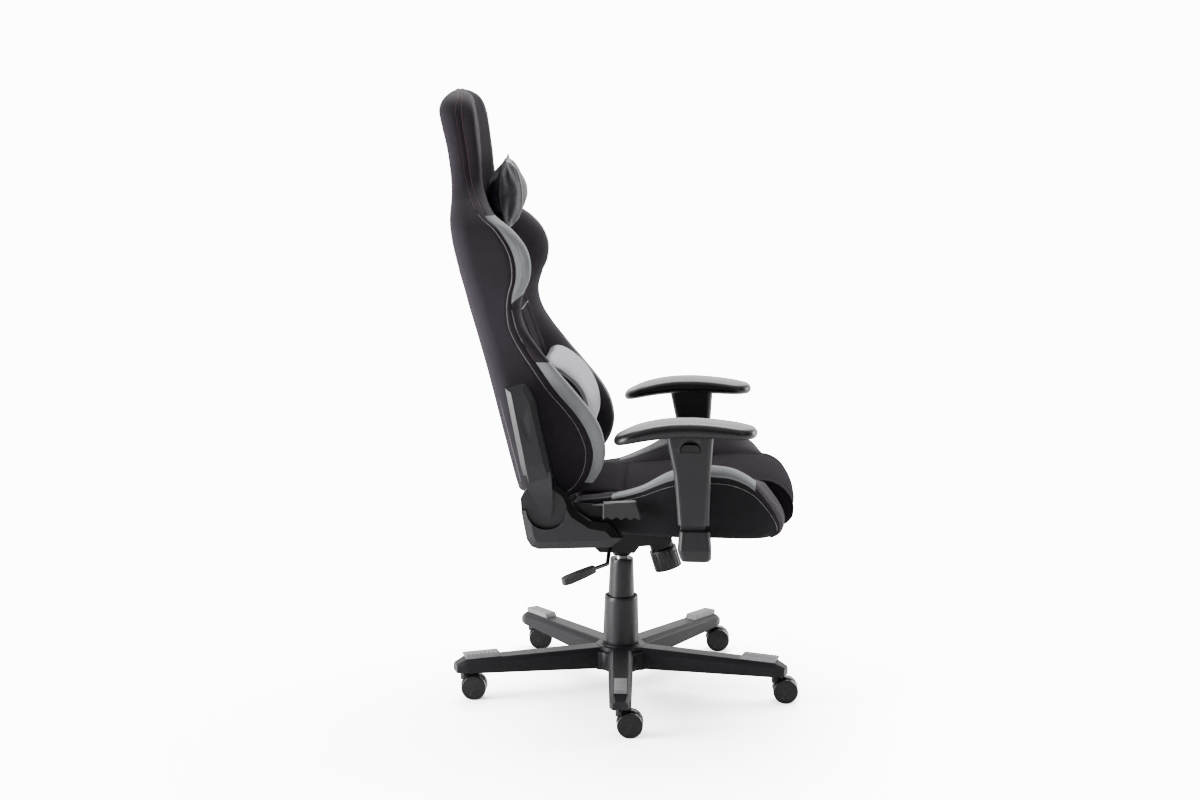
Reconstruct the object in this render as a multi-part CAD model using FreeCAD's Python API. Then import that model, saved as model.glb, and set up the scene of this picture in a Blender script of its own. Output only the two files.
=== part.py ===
"""Racing-style gaming chair on a five-leg swivel base, in millimetres.

Frame: +Z up, origin on the floor under the gas column's axis.  The chair faces -Y, so the
sitter's right-hand side, where the levers are, is -X.
"""
import FreeCAD, Part
import math
import os

V = FreeCAD.Vector
os.makedirs("parts", exist_ok=True)

# ---------------------------------------------------------------- driving dimensions
FIT = 0.05                 # radial running clearance of a shaft in its hole
LEGS = 5
BASE_TURN = 2.2            # degrees the star base is turned about Z
STEM_CIRCLE = 337.0        # radius of the caster stems' circle
LEG_TIP = 357.0            # radius of the legs' ends
LEG_TOP_HUB = 90.0
LEG_TOP_TIP = 83.0
LEG_FLOOR_HUB = 44.0
LEG_FLOOR_TIP = 56.0
LEG_HALF_HUB = 26.0        # half width of a leg at the hub and near its tip
LEG_HALF_TIP = 21.0
CREST_HALF_HUB = 17.0      # half width of a leg's flat top
CREST_HALF_TIP = 14.0
HUB_WEB_R = 63.0
HUB_CORNER_R = 20.0
PAD_START = 261.0          # radius where a leg's foot pad starts
PAD_END = 347.0
PAD_HALF = 13.0
PAD_RISE = 9.0
PAD_RIBS = 8
PAD_RIB_R = 3.6
PAD_RIB_PITCH = 8.6
WHEEL_R = 25.0
WHEEL_WIDTH = 16.0
WHEEL_GAP = 4.0            # from the caster's middle to a wheel
FENDER_R = 27.2
FENDER_HALF = 10.0
SPINDLE_R = 3.0
CASTER_TRAIL = 19.5        # wheel axle behind the stem, towards -Y
STEM_R = 5.5

CYLINDER_R = 25.0          # fixed outer tube of the gas spring
CYLINDER_BORE_R = 22.0
CYLINDER_TOP = 186.0
SPRING_R = 14.0            # moving tube of the gas spring
SPRING_FLOOR = 60.0
SPRING_TOP = 316.0
ROD_R = 4.0

PIVOT = V(0, -60, 338)     # tilt axis, along X
PIVOT_R = 6.0
KNOB_TOP = V(0, -85, 296)
KNOB_TILT = 17.6           # degrees the knob's foot leans towards the front
KNOB_R = 28.0
KNOB_HEIGHT = 43.0
KNOB_FLUTES = 20
BOLT_R = 5.0               # tension bolt inside the knob
COILS = 5
COIL_PITCH = 6.0
COIL_R = (10.5, 15.5)
HOUSING_HALF = 56.0
LEVER_AXIS = V(0, 23, 306) # axis of the height lever's rod, along X
LEVER_R = 3.6
LEVER_PATH = [V(-20, 23, 306), V(-100, 23, 306), V(-132, 24, 292), V(-186, 50, 294)]

HINGE = V(0, 139, 431)     # recline axis, along X
HINGE_R = 7.0
LEAN = 14.2                # degrees the back leans from vertical when upright
FRAME_OFFSET = 14.0        # the back's hoop lies this far behind the line up from the hinge
PILLOW_LEAN = 11.0         # the head section stands straighter than the back

SEAT_FLOOR = 380.0
PANEL_HALF = 162.0         # half width of the seat's and back's centre panels
BACK_LOW_HALF = 214.0      # half width of the back between the hinges
BACK_HIGH_HALF = 251.0     # half width at the shoulders
SEAT_HALF = 248.0

ARM_X = 280.0              # middle of an armrest
POST_REAR = -124.0
POST_FRONT = -172.0
POST_THICK = 16.0
POST_TOP = 556.0
SLEEVE_FOOT = 412.0
SLEEVE_TOP = 588.0
CORNER_STEPS = 4           # facets round a corner of the armrest's plastic
CUP_FOOT = 340.0
CUP_TOP = 399.0
BUTTON_R = 19.5            # half-moon height trigger in the sleeve
BUTTON_AT = (-141.0, 556.0)

# layers at the recline hinge, as distances from the middle plane
PLATE_BACK = (217.0, 223.0)
PLATE_SEAT = (225.0, 231.0)
PLATE_LEVER = (241.0, 245.0)
COVER_SEAT = (234.0, 266.0)
COVER_BACK = (227.0, 262.0)
TONGUE = (255.5, 259.5)
HINGE_CLEAR_R = 56.0       # nothing thick of the seat's cover reaches past this radius


# ---------------------------------------------------------------- helpers
def save(node, *shapes):
    """Write one node; several shapes become a group of separate solids."""
    shape = shapes[0] if len(shapes) == 1 else Part.makeCompound(list(shapes))
    if not shape.isValid():
        print("not valid:", node)
    print("%-24s %2d solid %9.1f cm3" % (node, len(shape.Solids), shape.Volume / 1000.0))
    shape.exportStep("parts/%s.step" % node)


def block(x0, x1, y0, y1, z0, z1):
    return Part.makeBox(x1 - x0, y1 - y0, z1 - z0, V(x0, y0, z0))


def rod(radius, start, end):
    """A solid cylinder from one point to another."""
    return Part.makeCylinder(radius, (end - start).Length, start, end - start)


def frustum(r_low, r_high, z_low, z_high):
    return Part.makeCone(r_low, r_high, z_high - z_low, V(0, 0, z_low), V(0, 0, 1))


def disc_x(radius, x0, x1, y, z):
    """A cylinder along X."""
    return rod(radius, V(x0, y, z), V(x1, y, z))


def polygon_yz(points, x):
    return Part.makePolygon([V(x, y, z) for y, z in points + points[:1]])


def prism_yz(points, x0, x1):
    """A straight-sided (Y, Z) outline extruded along X."""
    return Part.Face(polygon_yz(points, x0)).extrude(V(x1 - x0, 0, 0))


def slot_x(radius, x0, x1, start, end):
    """A round-ended slot along X between two (Y, Z) points."""
    run = (V(0, *end) - V(0, *start)).normalize() * radius
    corners = [(start[0] - run.z, start[1] + run.y), (end[0] - run.z, end[1] + run.y),
               (end[0] + run.z, end[1] - run.y), (start[0] + run.z, start[1] - run.y)]
    return prism_yz(corners, x0, x1).fuse([disc_x(radius, x0, x1, *start), disc_x(radius, x0, x1, *end)])


def soft_yz(points, x0, x1):
    """A smooth closed (Y, Z) outline extruded along X."""
    curve = Part.BSplineCurve()
    curve.interpolate([V(x0, y, z) for y, z in points], PeriodicFlag=True)
    return Part.Face(Part.Wire([curve.toShape()])).extrude(V(x1 - x0, 0, 0))


def prism_xz(points, y0, y1):
    wire = Part.makePolygon([V(x, y0, z) for x, z in points + points[:1]])
    return Part.Face(wire).extrude(V(0, y1 - y0, 0))


def prism_xy(points, z0, z1):
    wire = Part.makePolygon([V(x, y, z0) for x, y in points + points[:1]])
    return Part.Face(wire).extrude(V(0, 0, z1 - z0))


def bevelled_yz(points, x_in, x_out, depth, inset):
    """A flat cover of a (Y, Z) outline whose outer edge is bevelled all round."""
    step = depth if x_out > x_in else -depth
    body = prism_yz(points, x_in, x_out - step)
    wide = polygon_yz(points, x_out - step)
    narrow = wide.makeOffset2D(-inset, 2)
    narrow.translate(V(step, 0, 0))
    return body.fuse(Part.makeLoft([wide, narrow], True, True)).removeSplitter()


def other_side(shape):
    """The mirror image in the middle plane."""
    return shape.mirror(V(0, 0, 0), V(1, 0, 0))


def save_pair(name, right_shape):
    """Save a piece modelled on the sitter's right (-X) and its mirror image."""
    save(name + "_right", right_shape)
    save(name + "_left", other_side(right_shape))


def on_leg(index, radius, z=0.0):
    """A point above leg number index, 0 to 4, at a radius from the column."""
    angle = math.radians(180.0 + BASE_TURN + 360.0 / LEGS * index)
    return V(radius * math.cos(angle), radius * math.sin(angle), z)


def turned_to_leg(shape, index):
    """Turn a shape made along +X onto its leg."""
    copy = shape.copy()
    copy.rotate(V(0, 0, 0), V(0, 0, 1), 180.0 + BASE_TURN + 360.0 / LEGS * index)
    return copy


# ---------------------------------------------------------------- star base
def leg_section(radius, half_low, half_top, z_low, z_top, shoulder):
    """A leg's cross-section: wide foot, bevelled shoulders, narrow top."""
    ring = [(-half_low, z_low), (-half_low, z_top - shoulder), (-half_top, z_top),
            (half_top, z_top), (half_low, z_top - shoulder), (half_low, z_low)]
    return Part.makePolygon([V(radius, y, z) for y, z in ring + ring[:1]])


def leg_top(radius):
    """Height of a leg's top face at a radius."""
    share = radius / LEG_TIP
    return LEG_TOP_HUB + (LEG_TOP_TIP - LEG_TOP_HUB) * share


def star_base():
    hub_end = leg_section(0.0, LEG_HALF_HUB, CREST_HALF_HUB, LEG_FLOOR_HUB, LEG_TOP_HUB, 10.0)
    shoulder = leg_section(STEM_CIRCLE, LEG_HALF_TIP, CREST_HALF_TIP, LEG_FLOOR_TIP,
                           leg_top(STEM_CIRCLE), 9.0)
    nose = leg_section(LEG_TIP, 15.0, 9.0, LEG_FLOOR_TIP + 1.0, leg_top(LEG_TIP) - 9.0, 6.0)
    leg = Part.makeLoft([hub_end, shoulder], True, True)
    leg = leg.fuse(Part.makeLoft([shoulder, nose], True, True))
    trough = Part.makeLoft([leg_section(66.0, 18.0, 12.0, LEG_FLOOR_HUB - 9.0, 80.0, 8.0),
                            leg_section(300.0, 16.0, 9.0, LEG_FLOOR_TIP - 9.0, 75.0, 7.0)],
                           True, True)
    legs = [turned_to_leg(leg, index) for index in range(LEGS)]
    half_gap = math.pi / LEGS
    reach = (LEG_HALF_HUB + HUB_CORNER_R) / math.sin(half_gap)
    web_top = 80.0
    web = rod(HUB_WEB_R, V(0, 0, LEG_FLOOR_HUB), V(0, 0, web_top))
    web = web.fuse(frustum(HUB_WEB_R, 50.0, web_top, LEG_TOP_HUB))
    bites = []
    for index in range(LEGS):
        middle = on_leg(index + 0.5, reach)
        bites.append(rod(HUB_CORNER_R, middle, middle + V(0, 0, web_top + 2.0)))
        bites.append(rod(HUB_CORNER_R + 9.0, middle + V(0, 0, web_top + 1.0), middle + V(0, 0, 120.0)))
    star = legs[0].fuse(legs[1:] + [web.cut(bites), frustum(46.0, 40.0, 60.0, LEG_TOP_HUB + 2.0)])
    cuts = [turned_to_leg(trough, index) for index in range(LEGS)]
    cuts.append(rod(CYLINDER_R, V(0, 0, 30), V(0, 0, 100)))
    for index in range(LEGS):
        foot = on_leg(index, STEM_CIRCLE, 40.0)
        cuts.append(rod(STEM_R + FIT, foot, foot + V(0, 0, 34.5)))
    return star.cut(cuts)


def leg_pad(index):
    """The ribbed foot pad on a leg, a bevelled bar that follows the leg's top."""
    profile = [(PAD_START, leg_top(PAD_START)), (PAD_START + 6.0, leg_top(PAD_START) + PAD_RISE),
               (PAD_END - 8.0, leg_top(PAD_END) + PAD_RISE), (PAD_END - 11.0, leg_top(PAD_END - 11.0))]
    wire = Part.makePolygon([V(x, -PAD_HALF, z) for x, z in profile + profile[:1]])
    pad = Part.Face(wire).extrude(V(0, 2.0 * PAD_HALF, 0))
    ribs = []
    for number in range(PAD_RIBS):
        radius = PAD_START + 11.0 + PAD_RIB_PITCH * number
        height = leg_top(radius) + PAD_RISE - PAD_RIB_R + 1.2
        ribs.append(rod(PAD_RIB_R, V(radius, 2.0 - PAD_HALF, height), V(radius, PAD_HALF - 2.0, height)))
    return turned_to_leg(pad.fuse(ribs), index)


def caster_hood(index):
    """The centre web, fender and stem of one twin-wheel caster, with its axle."""
    stem = on_leg(index, STEM_CIRCLE)
    axle = stem + V(0, -CASTER_TRAIL, WHEEL_R)
    web_half = 3.0
    web = disc_x(18.0, axle.x - web_half, axle.x + web_half, axle.y, axle.z)
    fender = disc_x(FENDER_R, axle.x - FENDER_HALF, axle.x + FENDER_HALF, axle.y, axle.z)
    wheel_room = disc_x(WHEEL_R + 0.7, axle.x - 11.0, axle.x + 11.0, axle.y, axle.z)
    keep = block(axle.x - FENDER_HALF, axle.x + FENDER_HALF, axle.y - 12.0, axle.y + 40.0,
                 axle.z + 4.0, 60.0)
    bridge = block(axle.x - web_half, axle.x + web_half, axle.y, axle.y + 24.0,
                   axle.z - 4.0, axle.z + 20.0)
    bridge = bridge.common(disc_x(FENDER_R, axle.x - web_half, axle.x + web_half, axle.y, axle.z))
    collar = rod(9.0, V(stem.x, stem.y, 40.0), V(stem.x, stem.y, LEG_FLOOR_TIP - 0.8))
    collar = collar.cut(disc_x(WHEEL_R + 1.0, axle.x - 11.0, axle.x + 11.0, axle.y, axle.z))
    pin = rod(STEM_R, V(stem.x, stem.y, 44.0), V(stem.x, stem.y, 74.0))
    hood = web.fuse([fender.cut(wheel_room).common(keep), bridge, collar, pin]).removeSplitter()
    spindle = disc_x(SPINDLE_R, axle.x - 19.0, axle.x + 19.0, axle.y, axle.z)
    return hood.cut(spindle), spindle


def caster_wheels(index):
    """The two wheels of one caster: dished discs with a rolled tread edge, a ring line and a hub."""
    stem = on_leg(index, STEM_CIRCLE)
    y, z = stem.y - CASTER_TRAIL, WHEEL_R
    wheels = []
    for side in (-1, 1):
        inner = stem.x + side * WHEEL_GAP
        outer = inner + side * WHEEL_WIDTH
        wheel = disc_x(WHEEL_R, inner, outer, y, z)
        wheel = wheel.makeFillet(2.5, [e for e in wheel.Edges if e.Length > 100.0 and e.isClosed()])
        wheel = wheel.cut(disc_x(SPINDLE_R + FIT, inner - side, stem.x + side * 19.2, y, z))
        dish = disc_x(19.0, inner - side, inner + side * 6.0, y, z)
        ring = disc_x(20.6, outer - side * 0.8, outer + side, y, z)
        cuts = [dish.cut(disc_x(7.0, inner - side, outer, y, z)),
                ring.cut(disc_x(19.0, outer - side, outer + side, y, z))]
        wheels.append(wheel.cut(cuts).fuse(disc_x(7.0, outer - side * 0.5, outer + side * 0.6, y, z)))
    return wheels


# ---------------------------------------------------------------- gas column
def gas_cylinder():
    shell = rod(CYLINDER_R, V(0, 0, 36), V(0, 0, CYLINDER_TOP))
    shell = shell.cut(rod(CYLINDER_BORE_R, V(0, 0, 40), V(0, 0, 200)))
    return shell.cut(rod(ROD_R + FIT, V(0, 0, 30), V(0, 0, 41)))


def cylinder_guide():
    sleeve = rod(CYLINDER_BORE_R, V(0, 0, 108), V(0, 0, CYLINDER_TOP + 2.0))
    return sleeve.cut(rod(SPRING_R + FIT, V(0, 0, 100), V(0, 0, 200)))


def piston_rod():
    return rod(ROD_R, V(0, 0, 34), V(0, 0, 250)).fuse(rod(10.9, V(0, 0, 240), V(0, 0, 250)))


def thrust_bearing():
    ring = rod(14.0, V(0, 0, 40.3), V(0, 0, 50))
    return ring.cut(rod(ROD_R, V(0, 0, 38), V(0, 0, 52)))


def gas_spring_tube():
    tube = rod(SPRING_R, V(0, 0, SPRING_FLOOR), V(0, 0, SPRING_TOP))
    bore = rod(11.0, V(0, 0, SPRING_FLOOR + 5.0), V(0, 0, SPRING_TOP - 12.0))
    return tube.cut([bore, rod(ROD_R + FIT, V(0, 0, SPRING_FLOOR - 2), V(0, 0, 80))])


def cone_cover(r_low, r_high, z_low, z_high, wall):
    """One piece of the telescopic column cover, open at both ends."""
    inside = frustum(r_low - wall, r_high - wall, z_low, z_high)
    return frustum(r_low, r_high, z_low, z_high).cut(inside)


def column_cover_lower():
    cover = cone_cover(37.3, 34.2, LEG_TOP_HUB + 2.0, 194.0, 1.9)
    foot = rod(36.0, V(0, 0, LEG_TOP_HUB + 2.0), V(0, 0, LEG_TOP_HUB + 5.0))
    return cover.fuse(foot.cut(rod(CYLINDER_R, V(0, 0, 80), V(0, 0, 110))))


def column_cover_middle():
    return cone_cover(31.9, 31.3, 100.0, 192.0, 1.5)


def column_cover_upper():
    cover = cone_cover(29.4, 23.6, 132.0, 274.0, 1.5)
    lid = rod(22.6, V(0, 0, 271), V(0, 0, 274)).cut(rod(SPRING_R, V(0, 0, 260), V(0, 0, 280)))
    return cover.fuse(lid)


# ---------------------------------------------------------------- tilt mechanism
def knob_axis():
    lean = math.radians(KNOB_TILT)
    return V(0, -math.sin(lean), -math.cos(lean))


def tilt_housing():
    """Pressed-steel box that sits on the gas spring's taper and holds the tilt pivot."""
    side = [(-108, 348), (-60, 352), (-48, 347), (52, 325), (58, 312), (44, 298), (-28, 298),
            (-38, 312), (-102, 318)]
    shell = prism_yz(side, -HOUSING_HALF, HOUSING_HALF)
    socket = frustum(17.0, 28.0, 281, 299)
    neck_start = KNOB_TOP - knob_axis() * 1.0
    neck = rod(24.0, neck_start, neck_start - knob_axis() * 26.0)
    shell = shell.fuse([socket, neck])
    hollow = [(-100, 342), (-61, 345), (-50, 340), (-24, 333), (-24, 303), (-32, 303), (-40, 317),
              (-98, 322)]
    wall, core = 4.0, 27.0
    cuts = [prism_yz(hollow, wall - HOUSING_HALF, -core),
            prism_yz(hollow, core, HOUSING_HALF - wall)]
    cuts.append(rod(SPRING_R, V(0, 0, 280), V(0, 0, SPRING_TOP)))
    cuts.append(disc_x(PIVOT_R, -70, 70, PIVOT.y, PIVOT.z))
    spring_room = rod(17.0, neck_start, neck_start - knob_axis() * 36.0)
    cuts.append(spring_room)
    cuts.append(disc_x(LEVER_R + FIT, -64.5, -19, LEVER_AXIS.y, LEVER_AXIS.z))
    return shell.cut(cuts)


def tension_spring():
    """The tilt spring's coils as flat rings round the tension bolt."""
    rings = []
    bore = rod(COIL_R[0], KNOB_TOP + knob_axis() * 5.0, KNOB_TOP - knob_axis() * 50.0)
    for turn in range(COILS):
        start = KNOB_TOP - knob_axis() * (5.0 + COIL_PITCH * turn)
        rings.append(rod(COIL_R[1], start, start - knob_axis() * 4.0).cut(bore))
    return rings


def tension_knob():
    foot = KNOB_TOP + knob_axis() * KNOB_HEIGHT
    grip = rod(KNOB_R, KNOB_TOP, foot)
    flutes = []
    across = V(1, 0, 0)
    along = knob_axis().cross(across)
    flute_circle = KNOB_R + 1.6
    for index in range(KNOB_FLUTES):
        angle = 2.0 * math.pi * index / KNOB_FLUTES
        offset = (across * math.cos(angle) + along * math.sin(angle)) * flute_circle
        flutes.append(rod(3.0, KNOB_TOP + offset + knob_axis() * 7.0, foot + offset))
    bolt = rod(BOLT_R, KNOB_TOP + knob_axis() * 20.0, KNOB_TOP - knob_axis() * 34.0)
    return grip.cut(flutes).cut(bolt), bolt


def height_lever_rod():
    """Bent wire lever: a run along the housing, a drop, and a run back to the grip."""
    pieces = []
    for start, end in zip(LEVER_PATH, LEVER_PATH[1:]):
        pieces.append(rod(LEVER_R, start, end))
        pieces.append(Part.makeSphere(LEVER_R, end))
    shaft = pieces[0].fuse(pieces[1:])
    return shaft


def height_lever_grip():
    start = V(-182, 48, 294)
    end = V(-224, 108, 276)
    direction = (end - start).normalize()
    flat = V(0, 0, 1)
    side = direction.cross(flat).normalize()
    up = side.cross(direction)
    outline = [(0, 5), (8, 7), (30, 10), (62, 11), (74, 7), (76, 0)]
    points = [start + direction * a + side * b for a, b in outline]
    points += [start + direction * a - side * b for a, b in reversed(outline[:-1])]
    thick = 13.0
    grip = Part.Face(Part.makePolygon(points + points[:1])).extrude(up * thick)
    grip.translate(up * (-thick / 2.0))
    wire_end = rod(LEVER_R, LEVER_PATH[-2], LEVER_PATH[-1])
    return grip.cut([wire_end, Part.makeSphere(LEVER_R, LEVER_PATH[-1])])


def tilt_top_plate():
    """Steel plate under the seat with two ears that hang on the tilt pivot."""
    shape = block(-108, 108, -132, 112, 353, 358)
    for side in (-1, 1):
        ear = prism_yz([(-100, 354), (-86, 328), (-44, 328), (40, 354)], side * 59, side * 64)
        shape = shape.fuse(ear)
    return shape.cut(disc_x(PIVOT_R + FIT, -80, 80, PIVOT.y, PIVOT.z))


# ---------------------------------------------------------------- seat
SEAT_PANEL = [(96, 382), (98, 425), (92, 437), (50, 441), (0, 441), (-93, 456), (-185, 470),
              (-250, 476), (-300, 473), (-333, 456), (-349, 425), (-345, 398), (-325, 384),
              (-290, 381.5), (-190, 381), (0, 381)]
SEAT_WING = [(90, 380), (96, 400), (90, 428), (14, 443), (-40, 466), (-103, 504), (-150, 516),
             (-182, 517), (-227, 510), (-268, 487), (-303, 448), (-326, 403), (-322, 381),
             (-300, 374), (-187, 375), (-40, 376)]


def seat_frame():
    """Welded tube rectangle with two straps that bolt to the tilt plate."""
    tube_z, half, rear, front = 368.5, 150.0, 110.0, -270.0
    corners = [V(0, rear, tube_z), V(half, rear, tube_z), V(half, front, tube_z),
               V(-half, front, tube_z), V(-half, rear, tube_z), V(0, rear, tube_z)]
    frame = tube_network(list(zip(corners, corners[1:])), 9.0, 1.8)
    for y in (-100, 98):
        strap = block(-160, 160, y - 13, y + 13, 358, 363)
        frame = frame.fuse(strap)
    for side in (-1, 1):
        tie = rod(7.0, V(side * 159, 104, tube_z), V(side * 211, 104, tube_z))
        frame = frame.fuse(tie)
    return frame


def seat_pan():
    return block(-200, 200, -300, 92, 378.2, 379.8)


def seat_cushion():
    return soft_yz(SEAT_PANEL, -PANEL_HALF, PANEL_HALF).cut(block(-200, 200, -400, 200, 300, SEAT_FLOOR))


def seat_bolster_right():
    plan = [(-PANEL_HALF - 0.2, 100), (-208, 100), (-214, 20), (-236, -40), (-SEAT_HALF, -120),
            (-SEAT_HALF, -250), (-240, -305), (-222, -330), (-PANEL_HALF - 0.2, -330)]
    wing = soft_yz(SEAT_WING, -255, -150).common(prism_xy(plan, 300, 600))
    return wing.cut(block(-201, -150, -301, 93, 360, 380.2))


SIDE_COVER = [(177, 370), (188, 426), (190, 450), (184, 462), (176, 472), (166, 480), (153, 485),
              (139, 486), (122, 482), (99, 463), (79, 428), (49, 409), (14, 403), (-10, 376),
              (13, 357), (154, 351), (168, 356)]


def side_cover_right():
    """L-shaped plastic cover beside the seat, with a round well for the back's tongue."""
    cover = bevelled_yz(SIDE_COVER, -COVER_SEAT[0], -COVER_SEAT[1], 6.0, 15.0)
    wire = polygon_yz(SIDE_COVER, -COVER_SEAT[0] + 1.0).makeOffset2D(-4.0, 2)
    hollow = Part.Face(wire).extrude(V(-(COVER_SEAT[1] - COVER_SEAT[0]) + 15.0, 0, 0))
    well = disc_x(40.0, -COVER_SEAT[1] - 1, -TONGUE[0] + 0.8, HINGE.y, HINGE.z)
    fan = [(HINGE.y, HINGE.z)]
    for degrees in (-4, 45, 109):
        fan.append((HINGE.y + 120.0 * math.cos(math.radians(degrees)),
                    HINGE.z + 120.0 * math.sin(math.radians(degrees))))
    fan = prism_yz(fan, -COVER_SEAT[1] - 1, -TONGUE[0] + 0.8)
    slot = block(-PLATE_LEVER[1] - 4, -PLATE_LEVER[0] + 4, 20, 112, 405, 520)
    notch = block(-COVER_SEAT[0] - 21.5, -COVER_SEAT[0] + 1, 122, 230, 470, 500)
    sweep = disc_x(200, -COVER_BACK[1] - 1.5, -COVER_SEAT[0] + 1, HINGE.y, HINGE.z)
    sweep = sweep.cut(disc_x(HINGE_CLEAR_R - 1.0, -300, -200, HINGE.y, HINGE.z))
    sweep = sweep.common(block(-300, -200, 110, 260, 440, 560))
    return cover.cut([hollow, well, fan, slot, notch, sweep])


def hinge_plate_right():
    """Steel bracket from the seat frame up to the recline axis, with the hinge pin."""
    outline = [(60, 364), (60, 392), (104, 420), (112, 452), (139, 463), (166, 452), (172, 425),
               (160, 384), (128, 364)]
    plate = prism_yz(outline, -PLATE_SEAT[1], -PLATE_SEAT[0])
    foot = block(-PLATE_SEAT[1], -211, 62, 126, 362, 370)
    shape = plate.fuse(foot).cut(disc_x(HINGE_R, -240, -200, HINGE.y, HINGE.z))
    pin = disc_x(HINGE_R, -247, -216.5, HINGE.y, HINGE.z)
    return shape, pin


def cross_shaft():
    return disc_x(5.0, -215, 215, HINGE.y, HINGE.z)


# ---------------------------------------------------------------- armrests
def arm_bracket_right():
    """Flat bar bolted under the seat, turned up into the post inside the armrest."""
    bar = block(-ARM_X - 6, -120, POST_FRONT + 4, POST_REAR - 4, 352.5, 359.5)
    post = block(-ARM_X - POST_THICK / 2, -ARM_X + POST_THICK / 2, POST_FRONT, POST_REAR,
                 352, POST_TOP)
    post = post.makeFillet(2.0, [e for e in post.Edges if abs(e.Length - (POST_TOP - 352)) < 0.1])
    return bar.fuse(post).removeSplitter()


def arm_ring(z, rear, front, half, corner=10.0):
    """A rectangle with rounded corners round the armrest's middle, for lofts."""
    x0, x1 = -ARM_X - half + corner, -ARM_X + half - corner
    y0, y1 = front + corner, rear - corner
    outline = []
    for x, y, start in ((x0, y0, 180), (x1, y0, 270), (x1, y1, 0), (x0, y1, 90)):
        for step in range(CORNER_STEPS + 1):
            angle = math.radians(start + 90.0 * step / CORNER_STEPS)
            outline.append(V(x + corner * math.cos(angle), y + corner * math.sin(angle), z))
    return Part.makePolygon(outline + outline[:1])


def arm_cup_right():
    """Plastic boot over the bracket's elbow."""
    rings = [arm_ring(CUP_FOOT, -128, -181, 17.0), arm_ring(CUP_FOOT + 5, -125, -184.5, 21.0),
             arm_ring(CUP_FOOT + 22, -119.5, -184.5, 22.5), arm_ring(CUP_TOP, -122, -181.5, 20.5)]
    return Part.makeLoft(rings, True, True).cut(arm_bracket_right())


def moon(radius, x0, x1, z_low, z_high):
    """A half disc along X with its flat side down, in the middle of an arm sleeve."""
    y, z = BUTTON_AT
    return disc_x(radius, x0, x1, y, z).common(block(x0 - 1, x1 + 1, y - radius, y + radius, z_low, z_high))


def arm_sleeve_right():
    """Tapered outer sleeve that slides on the post and carries the pad."""
    shell = Part.makeLoft([arm_ring(SLEEVE_FOOT, -119, -180, 19.5), arm_ring(510, -110, -181, 21.5),
                           arm_ring(SLEEVE_TOP, -93, -185, 25.0)], True, True)
    room = block(-ARM_X - POST_THICK / 2 - 0.5, -ARM_X + POST_THICK / 2 + 0.5, POST_FRONT - 0.5,
                 POST_REAR + 0.5, SLEEVE_FOOT - 1, POST_TOP + 4)
    arch = moon(BUTTON_R + 0.8, -ARM_X - 30, -ARM_X - 10, 555.5, 590)
    raised = arch.copy()
    raised.translate(V(0, 0, 3.4))
    tab = block(-ARM_X - 30, -ARM_X - 23.6, -149, -133, 580, 590)
    return shell.cut([room, arch.fuse(raised), tab])


def arm_button_right():
    """Half-moon trigger in the sleeve's outer face, pushed up to free the height."""
    return moon(BUTTON_R, -ARM_X - 22.0, -ARM_X - 11.0, 556.2, 571.0)


def arm_pad_right():
    """Arched pad with rounded ends, highest above the sleeve."""
    def arch(points):
        return Part.Arc(*[V(-ARM_X, y, z) for y, z in points]).toShape()
    top = arch([(8, 580), (-139, 619), (-270, 604)])
    under = arch([(-270, 590), (-139, 596), (8, 568)])
    ends = [Part.LineSegment(V(-ARM_X, -270, 604), V(-ARM_X, -270, 590)).toShape(),
            Part.LineSegment(V(-ARM_X, 8, 568), V(-ARM_X, 8, 580)).toShape()]
    side = Part.Face(Part.Wire([top, ends[0], under, ends[1]]))
    pad = side.extrude(V(60, 0, 0)).fuse(side.extrude(V(-60, 0, 0)))
    half, rear, front = 47.0, 8.0, -270.0
    middle = block(-ARM_X - half, -ARM_X + half, front + half, rear - half, 500, 700)
    plan = middle.fuse([rod(half, V(-ARM_X, rear - half, 500), V(-ARM_X, rear - half, 700)),
                        rod(half, V(-ARM_X, front + half, 500), V(-ARM_X, front + half, 700))])
    pad = pad.common(plan).removeSplitter()
    return pad.cut(block(-ARM_X - 30, -ARM_X + 30, -200, -80, 500, SLEEVE_TOP))


# ---------------------------------------------------------------- back
BACK_PANEL = [(196, 452), (250, 650), (300, 840), (331, 960), (341, 1070), (354, 1140),
              (368, 1196), (362, 1224), (338, 1240), (308, 1229), (297, 1200), (286, 1115), (281, 1065),
              (262, 1000), (235, 910), (212, 815), (190, 758), (164, 695), (138, 600), (122, 520),
              (118, 470), (128, 453), (160, 450)]
BACK_WING = [(196, 452), (245, 640), (296, 838), (328, 965), (338, 1030), (318, 1060),
             (283, 1055), (245, 1008), (205, 975), (178, 925), (174, 890), (196, 836), (207, 800),
             (186, 752), (150, 712), (88, 655), (58, 620), (36, 580), (27, 545), (28, 515),
             (40, 488), (62, 468), (100, 450), (150, 447)]


def back_cushion():
    head_half = 142.0
    outline = [(-PANEL_HALF, 440), (PANEL_HALF, 440), (PANEL_HALF, 1010), (head_half + 8, 1050),
               (head_half, 1110), (134, 1185), (112, 1225), (70, 1245), (-70, 1245),
               (-112, 1225), (-134, 1185), (-head_half, 1110), (-head_half - 8, 1050),
               (-PANEL_HALF, 1010)]
    return soft_yz(BACK_PANEL, -200, 200).common(prism_xz(outline, 0, 500))


def back_bolster_right():
    inner = -PANEL_HALF - 0.2
    outline = [(inner, 440), (-200, 440), (-BACK_LOW_HALF, 480), (-BACK_LOW_HALF, 690),
               (-232, 780), (-BACK_HIGH_HALF, 860), (-BACK_HIGH_HALF, 965), (-236, 1005),
               (-196, 1036), (inner, 1052)]
    return soft_yz(BACK_WING, -280, -150).common(prism_xz(outline, -50, 500))


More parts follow.
